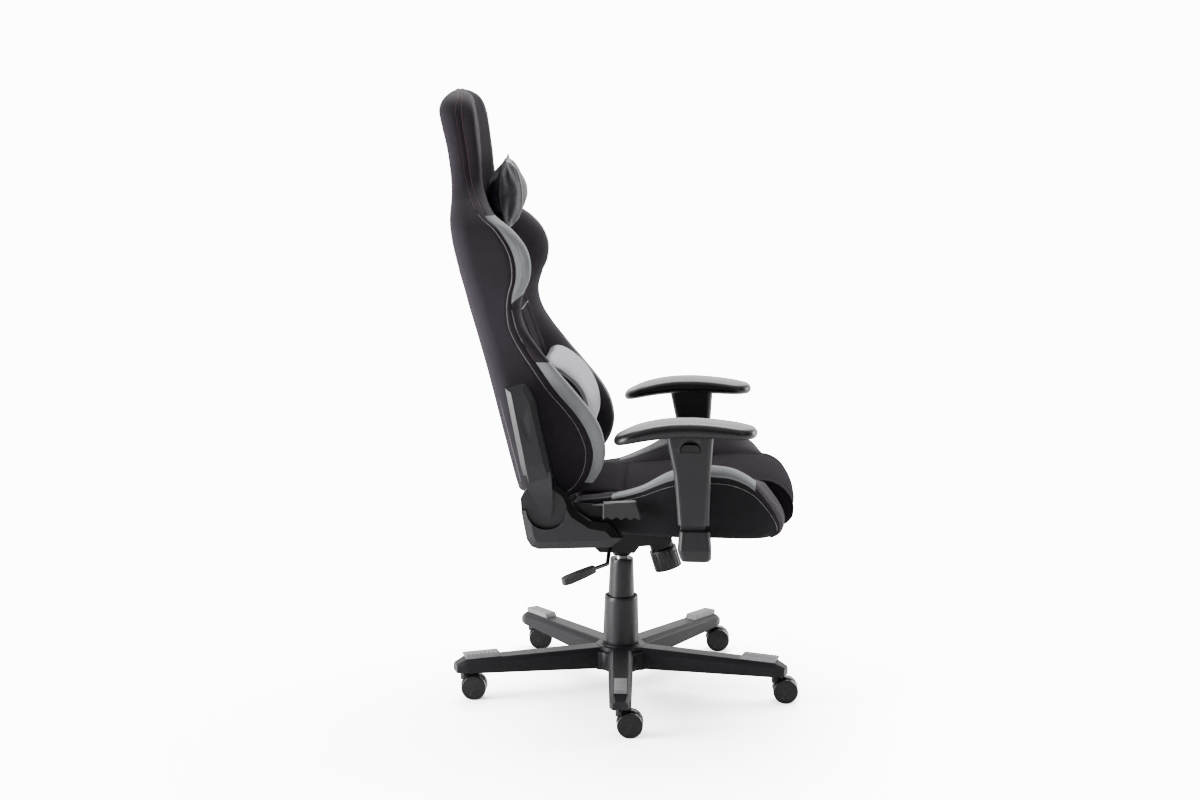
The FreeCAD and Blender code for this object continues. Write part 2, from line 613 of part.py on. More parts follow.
def lean_point(x, distance, offset=0.0):
    """A point of the back's frame, a distance up the lean from the hinge."""
    lean = math.radians(LEAN)
    return V(x, HINGE.y + distance * math.sin(lean) + offset * math.cos(lean),
             HINGE.z + distance * math.cos(lean) - offset * math.sin(lean))


def bar_network(runs, radius):
    """Welded round bars along straight runs, with a weld bead at each run's end."""
    pieces = []
    for start, end in runs:
        pieces.append(rod(radius, start, end))
        pieces.append(Part.makeSphere(radius + 0.5, end))
    return pieces[0].fuse(pieces[1:])


def tube_network(runs, radius, wall):
    """The same, of hollow tubes that make one closed loop."""
    outer = []
    inner = []
    bead = 0.5
    for start, end in runs:
        outer.append(rod(radius, start, end))
        outer.append(Part.makeSphere(radius + bead, end))
        inner.append(rod(radius - wall, start, end))
        inner.append(Part.makeSphere(radius - wall + bead / 2, end))
    solid = outer[0].fuse(outer[1:])
    return solid.cut(inner[0].fuse(inner[1:]))


def back_frame():
    """Tube hoop buried in the back's foam, with three cross tubes."""
    half, offset, top_half = 150.0, FRAME_OFFSET, 100.0
    low, knee, high = 60.0, 560.0, 700.0
    left = [lean_point(half, low, offset), lean_point(half, knee, offset),
            lean_point(top_half, high, offset)]
    right = [V(-point.x, point.y, point.z) for point in left]
    path = left + right[::-1]
    runs = list(zip(path, path[1:]))
    for distance in (low + 30.0, 300.0, 500.0):
        runs.append((lean_point(-half, distance, offset), lean_point(half, distance, offset)))
    for side in (-1, 1):
        stub_end = lean_point(side * 204, low + 30.0, offset)
        runs.append((stub_end, lean_point(side * half, low + 30.0, offset)))
    return bar_network(runs, 8.0)


def recline_plate_right():
    """Steel arm from the hinge up the back's side, welded to the frame."""
    outline = [(112, 425), (126, 404), (152, 404), (166, 425), (192, 520), (214, 640), (196, 655),
               (176, 640), (142, 500)]
    plate = prism_yz(outline, -PLATE_BACK[1], -PLATE_BACK[0])
    plate = plate.cut(disc_x(HINGE_R + FIT, -240, -200, HINGE.y, HINGE.z))
    centre = lean_point(0, 90.0, FRAME_OFFSET)
    return plate.fuse(disc_x(10.0, -PLATE_BACK[0] - 1, -204, centre.y, centre.z))


BACK_COVER = [(221, 668), (183, 678), (164, 646), (128, 490), (178, 474), (190, 515)]
TONGUE_SHAPE = [(186, 496), (131, 505), (128, 476), (126, 440), (130, 419), (144, 417), (176, 470)]


def back_arm_cover_right():
    """Long bevelled cover on the recline arm, with the tongue that lies in the side cover's well."""
    body = bevelled_yz(BACK_COVER, -COVER_BACK[0], -COVER_BACK[1], 6.5, 10.0)
    fold = prism_xz([(-COVER_BACK[1], 518), (-COVER_BACK[1] - 4, 518), (-COVER_BACK[1] - 4, 440),
                     (-COVER_BACK[1] + 5.0, 440)], 80, 260)
    fold.rotate(V(0, 167, 518), V(1, 0, 0), -12.0)
    body = body.cut(fold)
    reach = disc_x(HINGE_CLEAR_R + 0.4, -300, -200, HINGE.y, HINGE.z)
    body = body.cut(reach)
    tongue = prism_yz(TONGUE_SHAPE, -TONGUE[1], -TONGUE[0])
    outline = [(210, 655), (188, 662), (174, 640), (150, 510), (176, 505)]
    room = prism_yz(outline, -COVER_BACK[1] + 6.0, -COVER_BACK[0] + 1.0)
    recess = slot_x(4.0, -COVER_BACK[1] - 1.0, -COVER_BACK[1] + 1.2, (188.0, 607.0), (174.5, 569.0))
    return body.cut(room.fuse(recess)).fuse(tongue).removeSplitter()


def recline_lever_arm():
    outline = [(155, 431), (150, 420), (139, 415), (60, 414), (22, 416), (22, 438), (60, 440),
               (139, 447), (150, 442)]
    plate = prism_yz(outline, -PLATE_LEVER[1], -PLATE_LEVER[0])
    flange = block(-PLATE_LEVER[1] - 9, -PLATE_LEVER[0], 22, 50, 436, 439)
    plate = plate.fuse(flange)
    boss = disc_x(12.0, -PLATE_LEVER[1] - 0.6, -PLATE_LEVER[0] + 6.0, HINGE.y, HINGE.z)
    return plate.fuse(boss).cut(disc_x(HINGE_R + FIT, -300, -200, HINGE.y, HINGE.z)).removeSplitter()


def recline_lever_grip():
    """Plastic grip with four finger waves along its underside."""
    top = [(28, 446), (-36, 450), (-47, 421)]
    waves = []
    steps, front, length, pitch, depth = 56, -44.0, 72.0, 18.0, 2.4
    for index in range(steps + 1):
        run = length * index / steps
        waves.append((front + run, 416.5 - depth * math.cos(2.0 * math.pi * run / pitch)))
    grip = bevelled_yz(top + waves, -COVER_SEAT[1] + 18.0, -COVER_SEAT[1] - 2.0, 1.5, 1.5)
    return grip.cut(recline_lever_arm())


def behind_line(point, lean_degrees):
    """Everything behind a leaning plane through a point, to keep a pillow off the back."""
    slope = math.tan(math.radians(lean_degrees))
    low, high = point.z - 400.0, point.z + 400.0
    ends = [(point.y - 400.0 * slope, low), (point.y + 400.0 * slope, high)]
    return prism_yz(ends + [(900.0, high), (900.0, low)], -300, 300)


def head_pillow():
    """Small cushion lying against the front of the head section."""
    outline = [(258, 1108), (228, 1080), (210, 1030), (224, 975), (244, 984), (262, 1030), (278, 1078)]
    return soft_yz(outline, -140, 140).cut(behind_line(V(0, 274, 1065), PILLOW_LEAN))


def lumbar_pillow():
    """Arched cushion against the lower part of the centre panel."""
    outline = [(163, 717), (142, 722), (100, 700), (64, 650), (52, 595), (60, 560), (88, 545),
               (112, 550), (128, 590), (146, 655)]
    return soft_yz(outline, -150, 150).cut(behind_line(V(0, 122, 550), LEAN))


# ---------------------------------------------------------------- write every node
save("star_base", star_base())
save("leg_pads", *[leg_pad(index) for index in range(LEGS)])
for number in range(1, LEGS + 1):
    save("caster_hood_%d" % number, *caster_hood(number - 1))
    save("caster_wheels_%d" % number, *caster_wheels(number - 1))
save("gas_cylinder", gas_cylinder())
save("cylinder_guide", cylinder_guide())
save("piston_rod", piston_rod())
save("thrust_bearing", thrust_bearing())
save("gas_spring_tube", gas_spring_tube())
save("column_cover_lower", column_cover_lower())
save("column_cover_middle", column_cover_middle())
save("column_cover_upper", column_cover_upper())
save("tilt_housing", tilt_housing())
save("tilt_pivot_pin", disc_x(PIVOT_R, -67, 67, PIVOT.y, PIVOT.z))
save("tension_spring", *tension_spring())
save("tension_knob", *tension_knob())
save("height_lever_rod", height_lever_rod())
save("height_lever_grip", height_lever_grip())
save("tilt_top_plate", tilt_top_plate())
save("seat_frame", seat_frame())
save("seat_pan", seat_pan())
save("seat_cushion", seat_cushion())
save_pair("seat_bolster", seat_bolster_right())
save_pair("side_cover", side_cover_right())
save_pair("hinge_plate", Part.makeCompound(list(hinge_plate_right())))
save("recliner_cross_shaft", cross_shaft())
save_pair("arm_bracket", arm_bracket_right())
save_pair("arm_cup", arm_cup_right())
save_pair("arm_sleeve", arm_sleeve_right())
save_pair("arm_button", arm_button_right())
save_pair("arm_pad", arm_pad_right())
save("back_frame", back_frame())
save_pair("recline_plate", recline_plate_right())
save_pair("back_arm_cover", back_arm_cover_right())
save("back_cushion", back_cushion())
save_pair("back_bolster", back_bolster_right())
save("recline_lever_arm", recline_lever_arm())
save("recline_lever_grip", recline_lever_grip())
save("head_pillow", head_pillow())
save("lumbar_pillow", lumbar_pillow())
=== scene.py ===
"""The looks of the gaming chair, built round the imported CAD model. Metres, +Z up, the chair faces -Y."""
import bmesh
import bpy
import math
from mathutils import Matrix, Vector
from mathutils.bvhtree import BVHTree


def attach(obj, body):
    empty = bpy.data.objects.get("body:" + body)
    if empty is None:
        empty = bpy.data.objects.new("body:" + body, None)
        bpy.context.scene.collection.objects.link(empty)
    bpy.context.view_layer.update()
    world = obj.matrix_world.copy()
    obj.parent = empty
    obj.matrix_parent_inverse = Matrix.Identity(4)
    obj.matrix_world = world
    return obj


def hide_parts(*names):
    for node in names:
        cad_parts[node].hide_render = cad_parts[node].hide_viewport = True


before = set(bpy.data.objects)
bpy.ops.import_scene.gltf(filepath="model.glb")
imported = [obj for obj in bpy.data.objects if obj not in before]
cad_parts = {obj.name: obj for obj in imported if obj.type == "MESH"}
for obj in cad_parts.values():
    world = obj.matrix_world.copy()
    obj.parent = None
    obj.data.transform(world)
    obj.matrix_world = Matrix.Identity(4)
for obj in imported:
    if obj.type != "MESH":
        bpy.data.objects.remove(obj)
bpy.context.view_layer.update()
MM = 0.001

ARM_X = 280.0              # the armrests' middle in the CAD, in millimetres like the tables below


# ---------------------------------------------------------------- camera, light and floor
CAMERA_AT = Vector((-4.127, -0.154, 1.275))
CAMERA_PITCH, CAMERA_YAW, CAMERA_ROLL = (math.radians(a) for a in (9.18, 2.81, 0.52))
CAMERA_LENS = 60.7
CAMERA_SENSOR = 36.0
# the sky's strength: a base, and glows that grow along an axis from one height to another
SKY_BASE = 0.2
SKY_GLOWS = (("Z", 0.45, 1.0, 1.5), ("X", 0.0, 1.0, 2.4), ("Z", -0.2, -1.0, 0.25))
BACKDROP = 16.0
FLOOR_HALF = 9000
# name, place, target, size and watts
LAMPS = (("overhead", (1.3, -0.1, 2.7), (0, 0, 0.4), (2.0, 2.0), 128),
         ("rear_panel", (-0.65, 1.6, 0.62), (-0.25, 0.2, 0.55), (0.9, 1.15), 75),
         ("front_rim", (1.1, -2.5, 0.9), (0, -0.3, 0.45), (1.0, 1.6), 58),
         ("fill", (-2.6, -2.6, 2.4), (0, 0, 0.6), (1.2, 1.2), 14))


def add_camera():
    data = bpy.data.cameras.new("camera")
    data.lens = CAMERA_LENS
    data.sensor_width = CAMERA_SENSOR
    data.sensor_fit = "HORIZONTAL"
    camera = bpy.data.objects.new("camera", data)
    bpy.context.collection.objects.link(camera)
    ahead = Vector((math.cos(CAMERA_PITCH) * math.cos(CAMERA_YAW),
                    math.cos(CAMERA_PITCH) * math.sin(CAMERA_YAW), -math.sin(CAMERA_PITCH)))
    right = ahead.cross(Vector((0, 0, 1))).normalized()
    up = right.cross(ahead)
    right = right * math.cos(CAMERA_ROLL) + up * math.sin(CAMERA_ROLL)
    up = right.cross(ahead)
    turn = Matrix((right, up, -ahead)).transposed().to_4x4()
    camera.matrix_world = Matrix.Translation(CAMERA_AT) @ turn
    bpy.context.scene.camera = camera


def add_area_light(name, at, target, size, power):
    """A lamp that lights the chair but isn't seen itself."""
    data = bpy.data.lights.new(name, "AREA")
    data.shape = "RECTANGLE"
    data.size, data.size_y = size
    data.energy = power
    light = bpy.data.objects.new(name, data)
    bpy.context.collection.objects.link(light)
    light.visible_camera = False
    light.location = at
    light.rotation_euler = (Vector(target) - Vector(at)).to_track_quat("-Z", "Y").to_euler()


def add_studio():
    """White to the camera, a dim sky brighter above and beyond the chair to everything else."""
    world = bpy.data.worlds.new("studio")
    bpy.context.scene.world = world
    world.use_nodes = True
    light = world.node_tree.nodes["Background"]
    light.inputs["Color"].default_value = (1.0, 1.0, 1.0, 1.0)
    spots = node(world, "ShaderNodeTexCoord")
    axes = separate(world, spots.outputs["Generated"])
    total = SKY_BASE
    for axis, start, end, amount in SKY_GLOWS:
        total = compute(world, "ADD", ramp(world, axes[axis], start, end, 0.0, amount), total)
    wire(world, total, light.inputs["Strength"])
    white = node(world, "ShaderNodeBackground")
    white.inputs["Strength"].default_value = BACKDROP
    seen = node(world, "ShaderNodeLightPath")
    mix = node(world, "ShaderNodeMixShader")
    wire(world, seen.outputs["Is Camera Ray"], mix.inputs["Fac"])
    wire(world, light.outputs[0], mix.inputs[1])
    wire(world, white.outputs[0], mix.inputs[2])
    wire(world, mix.outputs[0], world.node_tree.nodes["World Output"].inputs["Surface"])
    for lamp in LAMPS:
        add_area_light(*lamp)
    spread = (-FLOOR_HALF, 0, FLOOR_HALF)
    floor = grid_piece("floor", [[Vector((x, y, 0)) for x in spread] for y in spread])
    paint(floor, MATERIALS["floor"])
    floor.is_shadow_catcher = True


# ---------------------------------------------------------------- curves
def hermite(p0, m0, p1, m1, t):
    """A cubic from p0 to p1 with end tangents m0 and m1."""
    a = 2 * t ** 3 - 3 * t ** 2 + 1
    b = t ** 3 - 2 * t ** 2 + t
    c = -2 * t ** 3 + 3 * t ** 2
    d = t ** 3 - t ** 2
    return p0 * a + m0 * b + p1 * c + m1 * d


class Curve:
    """A smooth value over knots [(x, value), ...], where a value is a number or a vector."""

    def __init__(self, knots):
        self.x = [float(k[0]) for k in knots]
        self.v = [k[1] if not isinstance(k[1], tuple) else Vector(k[1]) for k in knots]

    def slope(self, i):
        lo, hi = max(i - 1, 0), min(i + 1, len(self.x) - 1)
        return (self.v[hi] - self.v[lo]) * (1.0 / (self.x[hi] - self.x[lo]))

    def __call__(self, x):
        if x <= self.x[0]:
            return self.v[0]
        if x >= self.x[-1]:
            return self.v[-1]
        i = max(k for k in range(len(self.x) - 1) if self.x[k] <= x)
        span = self.x[i + 1] - self.x[i]
        return hermite(self.v[i], self.slope(i) * span, self.v[i + 1], self.slope(i + 1) * span,
                       (x - self.x[i]) / span)


def path(points):
    """A smooth curve through points, by running length from 0 to 1."""
    points = [Vector(p) for p in points]
    total = [0.0]
    for a, b in zip(points, points[1:]):
        total.append(total[-1] + (b - a).length)
    return Curve([(t / total[-1], p) for t, p in zip(total, points)])


def section(points, tangents, counts):
    """Points along hermite pieces through the given points; counts has one entry for each piece."""
    out = []
    for i, count in enumerate(counts):
        size = (points[i + 1] - points[i]).length
        for k in range(count):
            out.append(hermite(points[i], tangents[i][1] * size, points[i + 1],
                               tangents[i + 1][0] * size, k / count))
    out.append(points[-1].copy())
    return out


# ---------------------------------------------------------------- mesh helpers
def link(name, mesh):
    piece = bpy.data.objects.new(name, mesh)
    bpy.context.collection.objects.link(piece)
    return piece


def grid_piece(name, rows, loop=False, capped=False, slots=None):
    """A mesh from rows of points in millimetres. loop joins each row's end to its start, and capped
    closes the first and last ring with a ladder of faces. slots(i, j) gives the material slot of the
    face after row i and column j. UVs are in metres."""
    count = len(rows[0])
    verts = [p * MM for row in rows for p in row]
    steps = count if loop else count - 1
    faces = []
    marks = []
    for i in range(len(rows) - 1):
        for j in range(steps):
            k = (j + 1) % count
            faces.append((i * count + j, i * count + k, (i + 1) * count + k, (i + 1) * count + j))
            marks.append(slots(i, j) if slots else 0)
    walls = len(faces)
    if capped:
        for start, order in ((0, 1), ((len(rows) - 1) * count, -1)):
            for j in range(count // 2):
                a, b, c, d = j, j + 1, count - 1 - j, (count - j) % count
                ring = [k for n, k in enumerate((a, b, c, d)) if k not in (a, b, c, d)[:n]]
                if len(ring) > 2:
                    faces.append(tuple(start + k for k in ring[::order]))
                    marks.append(slots(0 if start == 0 else len(rows) - 2, j) if slots else 0)
    mesh = bpy.data.meshes.new(name)
    mesh.from_pydata([tuple(v) for v in verts], [], faces)
    middle = len(rows) // 2
    across = [0.0]
    for j in range(steps):
        across.append(across[-1] + (rows[middle][(j + 1) % count] - rows[middle][j]).length * MM)
    along = [0.0]
    for i in range(len(rows) - 1):
        best = max((rows[i + 1][j] - rows[i][j]).length for j in range(0, count, max(1, count // 8)))
        along.append(along[-1] + best * MM)
    layer = mesh.uv_layers.new(name="cloth")
    for face in mesh.polygons:
        face.material_index = marks[face.index]
        face.use_smooth = True
        if face.index >= walls:
            for corner, k in zip(face.loop_indices, face.vertices):
                layer.data[corner].uv = (mesh.vertices[k].co.x, mesh.vertices[k].co.y)
            continue
        i, j = divmod(face.index, steps)
        spots = ((j, i), (j + 1, i), (j + 1, i + 1), (j, i + 1))
        for corner, (u, v) in zip(face.loop_indices, spots):
            layer.data[corner].uv = (across[u], along[v])
    piece = link(name, mesh)
    if loop:
        tidy_shell(piece)
    return piece


def tidy_shell(piece):
    """Merge points that meet, and turn a closed shell's faces outwards."""
    clean = bmesh.new()
    clean.from_mesh(piece.data)
    bmesh.ops.remove_doubles(clean, verts=clean.verts, dist=0.02 * MM)
    bmesh.ops.recalc_face_normals(clean, faces=clean.faces)
    clean.to_mesh(piece.data)
    clean.free()


def subdivide(piece):
    modifier = piece.modifiers.new("smooth", "SUBSURF")
    modifier.levels = 1
    modifier.render_levels = 1


def paint(piece, *materials):
    """Give a piece its materials, in the order of its faces' slots."""
    while len(piece.data.materials) < len(materials):
        piece.data.materials.append(None)
    for slot, material in enumerate(materials):
        piece.data.materials[slot] = material


def join_meshes(name, parts):
    """One mesh from lists of (verts, faces)."""
    verts, faces = [], []
    for part_verts, part_faces in parts:
        start = len(verts)
        verts.extend(part_verts)
        faces.extend([tuple(i + start for i in face) for face in part_faces])
    mesh = bpy.data.meshes.new(name)
    mesh.from_pydata([tuple(v) for v in verts], [], faces)
    for face in mesh.polygons:
        face.use_smooth = True
    return link(name, mesh)


def tube_faces(rings, sides, closed=False):
    """The faces of a tube of rings, with both ends shut unless it runs round."""
    faces = []
    for i in range(rings if closed else rings - 1):
        m = (i + 1) % rings
        for k in range(sides):
            n = (k + 1) % sides
            faces.append((i * sides + k, i * sides + n, m * sides + n, m * sides + k))
    if not closed:
        faces.append(tuple(reversed(range(sides))))
        faces.append(tuple((rings - 1) * sides + k for k in range(sides)))
    return faces


def capsule(a, b, radius, out, sides=6):
    """A short plump thread between two points: rings at its ends and middle. out is the surface's normal."""
    ahead = (b - a).normalized()
    side = ahead.cross(out).normalized()
    up = side.cross(ahead)
    verts = []
    shares = ((0.0, 0.35), (0.2, 0.9), (0.5, 1.0), (0.8, 0.9), (1.0, 0.35))
    for share, size in shares:
        middle = a.lerp(b, share)
        for k in range(sides):
            angle = 2 * math.pi * k / sides
            spoke = side * math.cos(angle) + up * math.sin(angle) * 0.8
            verts.append((middle + spoke * radius * size) * MM)
    return verts, tube_faces(len(shares), sides)


def tube_along(points, radius, sides=8, closed=False):
    """A round piping along points."""
    verts = []
    count = len(points)
    up = Vector((0.13, 0.27, 0.95))
    for i, p in enumerate(points):
        before = points[i - 1] if (i or closed) else points[i]
        after = points[(i + 1) % count] if (i < count - 1 or closed) else points[i]
        ahead = (after - before).normalized()
        side = ahead.cross(up).normalized()
        over = side.cross(ahead)
        for k in range(sides):
            angle = 2 * math.pi * k / sides
            verts.append((p + (side * math.cos(angle) + over * math.sin(angle)) * radius) * MM)
    return verts, tube_faces(count, sides, closed)


class Surface:
    """The finished surface of some pieces, to lay thread and piping on."""

    def __init__(self, *pieces):
        graph = bpy.context.evaluated_depsgraph_get()
        graph.update()
        self.trees = [BVHTree.FromObject(piece, graph) for piece in pieces]

    def settle(self, spot):
        """The nearest surface point in millimetres, with its normal."""
        found = [tree.find_nearest(spot * MM) for tree in self.trees]
        best = min((hit for hit in found if hit[0] is not None), key=lambda hit: hit[3])
        return best[0] / MM, best[1]


def dashes(surface, line, pitch=4.8, length=2.5, radius=0.58, lift=0.2):
    """Thread dashes laid along a line of points on a surface."""
    parts = []
    run = [0.0]
    for a, b in zip(line, line[1:]):
        run.append(run[-1] + max(0.01, (b - a).length))
    along = Curve(list(zip(run, line)))
    place = 0.5 * pitch
    while place + length < run[-1]:
        a, out = surface.settle(along(place))
        b, _ = surface.settle(along(place + length))
        if (b - a).length > 0.4 * length:
            parts.append(capsule(a + out * lift, b + out * lift, radius, out))
        place += pitch
    return parts


def piping(surface, line, radius, sink=0.3, closed=False):
    """A round cord laid along a line of points on a surface."""
    spots = []
    for spot in line:
        here, out = surface.settle(spot)
        spots.append(here + out * (radius * (1 - sink)))
    return tube_along(spots, radius, closed=closed)


# ---------------------------------------------------------------- materials
MATERIALS = {}


def shader_of(material):
    return material.node_tree.nodes["Principled BSDF"]


def new_material(name, color, roughness, mirror):
    """A principled material; mirror is its specular level, where 0.5 is the usual one."""
    material = bpy.data.materials.new(name)
    material.use_nodes = True
    sockets = shader_of(material).inputs
    sockets["Base Color"].default_value = (*color, 1.0)
    sockets["Roughness"].default_value = roughness
    sockets["Specular IOR Level"].default_value = mirror
    MATERIALS[name] = material
    return material


def node(material, kind, **settings):
    made = material.node_tree.nodes.new(kind)
    for key, value in settings.items():
        setattr(made, key, value)
    return made


def wire(material, source, target):
    material.node_tree.links.new(source, target)


def drive(material, socket, value):
    """Set a socket to a number or a colour, or wire another socket to it."""
    if hasattr(value, "links"):
        wire(material, value, socket)
    else:
        socket.default_value = value


def compute(material, operation, *values):
    """A sum on sockets and numbers."""
    made = node(material, "ShaderNodeMath", operation=operation)
    for socket, value in zip(made.inputs, values):
        drive(material, socket, value)
    return made.outputs[0]


def ramp(material, source, start, end, low=0.0, high=1.0):
    """Map start to end onto low to high."""
    made = node(material, "ShaderNodeMapRange")
    for key, value in (("Value", source), ("From Min", start), ("From Max", end), ("To Min", low),
                       ("To Max", high)):
        drive(material, made.inputs[key], value)
    return made.outputs["Result"]


def separate(material, source):
    """The X, Y and Z of a vector socket."""
    made = node(material, "ShaderNodeSeparateXYZ")
    wire(material, source, made.inputs["Vector"])
    return made.outputs


def noise(material, spots, scale, detail=2.0):
    """Noise from 0 to 1 in the piece's own coordinates."""
    made = node(material, "ShaderNodeTexNoise")
    made.inputs["Scale"].default_value = scale
    made.inputs["Detail"].default_value = detail
    wire(material, spots.outputs["Object"], made.inputs["Vector"])
    return made.outputs["Fac"]


def emboss(material, height, strength, distance):
    """Raise the surface by a height from 0 to 1; distance is in metres."""
    relief = node(material, "ShaderNodeBump")
    relief.inputs["Strength"].default_value = strength
    relief.inputs["Distance"].default_value = distance
    wire(material, height, relief.inputs["Height"])
    wire(material, relief.outputs["Normal"], shader_of(material).inputs["Normal"])


def mix_colors(material, factor, low, high):
    """A colour between two, by a factor socket; low and high are colours or sockets."""
    mix = node(material, "ShaderNodeMix", data_type="RGBA")
    wire(material, factor, mix.inputs["Factor"])
    for socket, color in ((mix.inputs[6], low), (mix.inputs[7], high)):
        drive(material, socket, color if hasattr(color, "links") else (*color, 1.0))
    return mix.outputs[2]


def weave_height(material, pitch, by_uv):
    """Over-and-under threads: two crossed waves, from 0 to 1."""
    spots = node(material, "ShaderNodeTexCoord")
    source = spots.outputs["UV"] if by_uv else spots.outputs["Object"]
    waves = []
    for direction in ("X", "Y" if by_uv else "Z"):
        wave = node(material, "ShaderNodeTexWave", wave_type="BANDS", bands_direction=direction,
                    wave_profile="SIN")
        for key, value in (("Scale", 0.314 / pitch), ("Distortion", 0.6), ("Detail", 1.0),
                           ("Detail Scale", 2.0), ("Vector", source)):
            drive(material, wave.inputs[key], value)
        waves.append(wave.outputs["Fac"])
    return compute(material, "MULTIPLY", *waves), spots


def cloth_material(name, dark, light, pitch, bump, sheen, roughness=0.85, by_uv=True, mirror=0.25):
    """Woven or knitted cloth: thread relief, thread colour, and slow colour drift from wear and nap."""
    material = new_material(name, dark, roughness, mirror)
    sockets = shader_of(material).inputs
    sockets["Sheen Weight"].default_value = sheen
    sockets["Sheen Roughness"].default_value = 0.45
    sockets["Sheen Tint"].default_value = (*[min(1.0, 0.55 + c * 2) for c in light], 1.0)
    height, spots = weave_height(material, pitch, by_uv)
    slow = noise(material, spots, 9.0, 5.0)
    fuzz = noise(material, spots, 900.0, 3.0)
    thread = mix_colors(material, height, dark, light)
    worn = mix_colors(material, ramp(material, slow, 0.0, 1.0, 0.0, 0.25), thread, light)
    wire(material, worn, sockets["Base Color"])
    wire(material, ramp(material, fuzz, 0.0, 1.0, roughness - 0.12, roughness + 0.1), sockets["Roughness"])
    emboss(material, compute(material, "ADD", height, fuzz), bump, 0.0006)
    return material


TAPER_SLOPE = 0.8          # the shoulder panel ends where Z + slope * Y falls under this height
TAPER_END = 1000.0
TAPER_FLOOR = 760.0        # the waist panel lies below this height and isn't cut
TAPER_BLACK = (0.010, 0.0065, 0.011)


def taper_accent(material):
    """Black cloth below a slanted line, so that the shoulder's grey panel ends in a point."""
    base = shader_of(material).inputs["Base Color"]
    axes = separate(material, node(material, "ShaderNodeTexCoord").outputs["Object"])
    slant = compute(material, "MULTIPLY_ADD", axes["Y"], TAPER_SLOPE, axes["Z"])
    above = ramp(material, slant, TAPER_END * MM, (TAPER_END + 1.0) * MM)
    waist = compute(material, "LESS_THAN", axes["Z"], TAPER_FLOOR * MM)
    keep = compute(material, "MAXIMUM", above, waist)
    wire(material, mix_colors(material, keep, TAPER_BLACK, base.links[0].from_socket), base)


def plastic_material(name, color, roughness, grain, bump, gloss=0.0, mirror=0.30):
    """Moulded plastic: fine grain, slow gloss drift, and a painted highlight that lightens sharp edges."""
    material = new_material(name, color, roughness, mirror)
    sockets = shader_of(material).inputs
    sockets["Coat Weight"].default_value = gloss
    sockets["Coat Roughness"].default_value = 0.12
    spots = node(material, "ShaderNodeTexCoord")
    cells = node(material, "ShaderNodeTexVoronoi")
    cells.inputs["Scale"].default_value = grain
    wire(material, spots.outputs["Object"], cells.inputs["Vector"])
    slow = noise(material, spots, 14.0, 6.0)
    wire(material, ramp(material, slow, 0.0, 1.0, roughness - 0.07, roughness + 0.09), sockets["Roughness"])
    lighter = tuple(c * 1.6 + 0.004 for c in color)
    base = mix_colors(material, ramp(material, slow, 0.0, 1.0, 0.0, 0.45), color, lighter)
    # painted highlight: sharp convex edges, found by pointiness, are mixed towards a lighter colour
    shape = node(material, "ShaderNodeNewGeometry")
    rim = ramp(material, shape.outputs["Pointiness"], 0.52, 0.62, 0.0, 0.4)
    highlighted_edges = mix_colors(material, rim, base, tuple(c * 2 + 0.02 for c in color))
    wire(material, highlighted_edges, sockets["Base Color"])
    emboss(material, cells.outputs["Distance"], bump, 0.0004)
    return material


def banded_plastic(name, color, band, roughness, grain, bump):
    """Moulded plastic whose bevel along the concave front and top edge is glossy black."""
    material = plastic_material(name, color, roughness, grain, bump)
    axes = separate(material, node(material, "ShaderNodeTexCoord").outputs["Normal"])
    mask = ramp(material, compute(material, "SUBTRACT", axes["Z"], axes["Y"]), 0.12, 0.16)
    for key, value in (("Base Color", band), ("Roughness", (0.22, 0.22, 0.22))):
        socket = shader_of(material).inputs[key]
        wire(material, mix_colors(material, mask, socket.links[0].from_socket, value), socket)


def metal_material(name, color, roughness, metallic):
    """Bare or painted metal with a slow drift of gloss and tone."""
    material = new_material(name, color, roughness, 0.5 if metallic else 0.2)
    sockets = shader_of(material).inputs
    sockets["Metallic"].default_value = metallic
    slow = noise(material, node(material, "ShaderNodeTexCoord"), 60.0, 6.0)
    wire(material, ramp(material, slow, 0.0, 1.0, roughness - 0.1, roughness + 0.15), sockets["Roughness"])
    base = mix_colors(material, slow, tuple(c * 0.8 for c in color), color)
    wire(material, base, sockets["Base Color"])
    emboss(material, slow, 0.15, 0.0003)


CHARCOAL = (0.0075, 0.0072, 0.0087)
GREY_KNIT = ((0.115, 0.119, 0.122), (0.30, 0.308, 0.313), 0.0020, 0.9, 0.08)


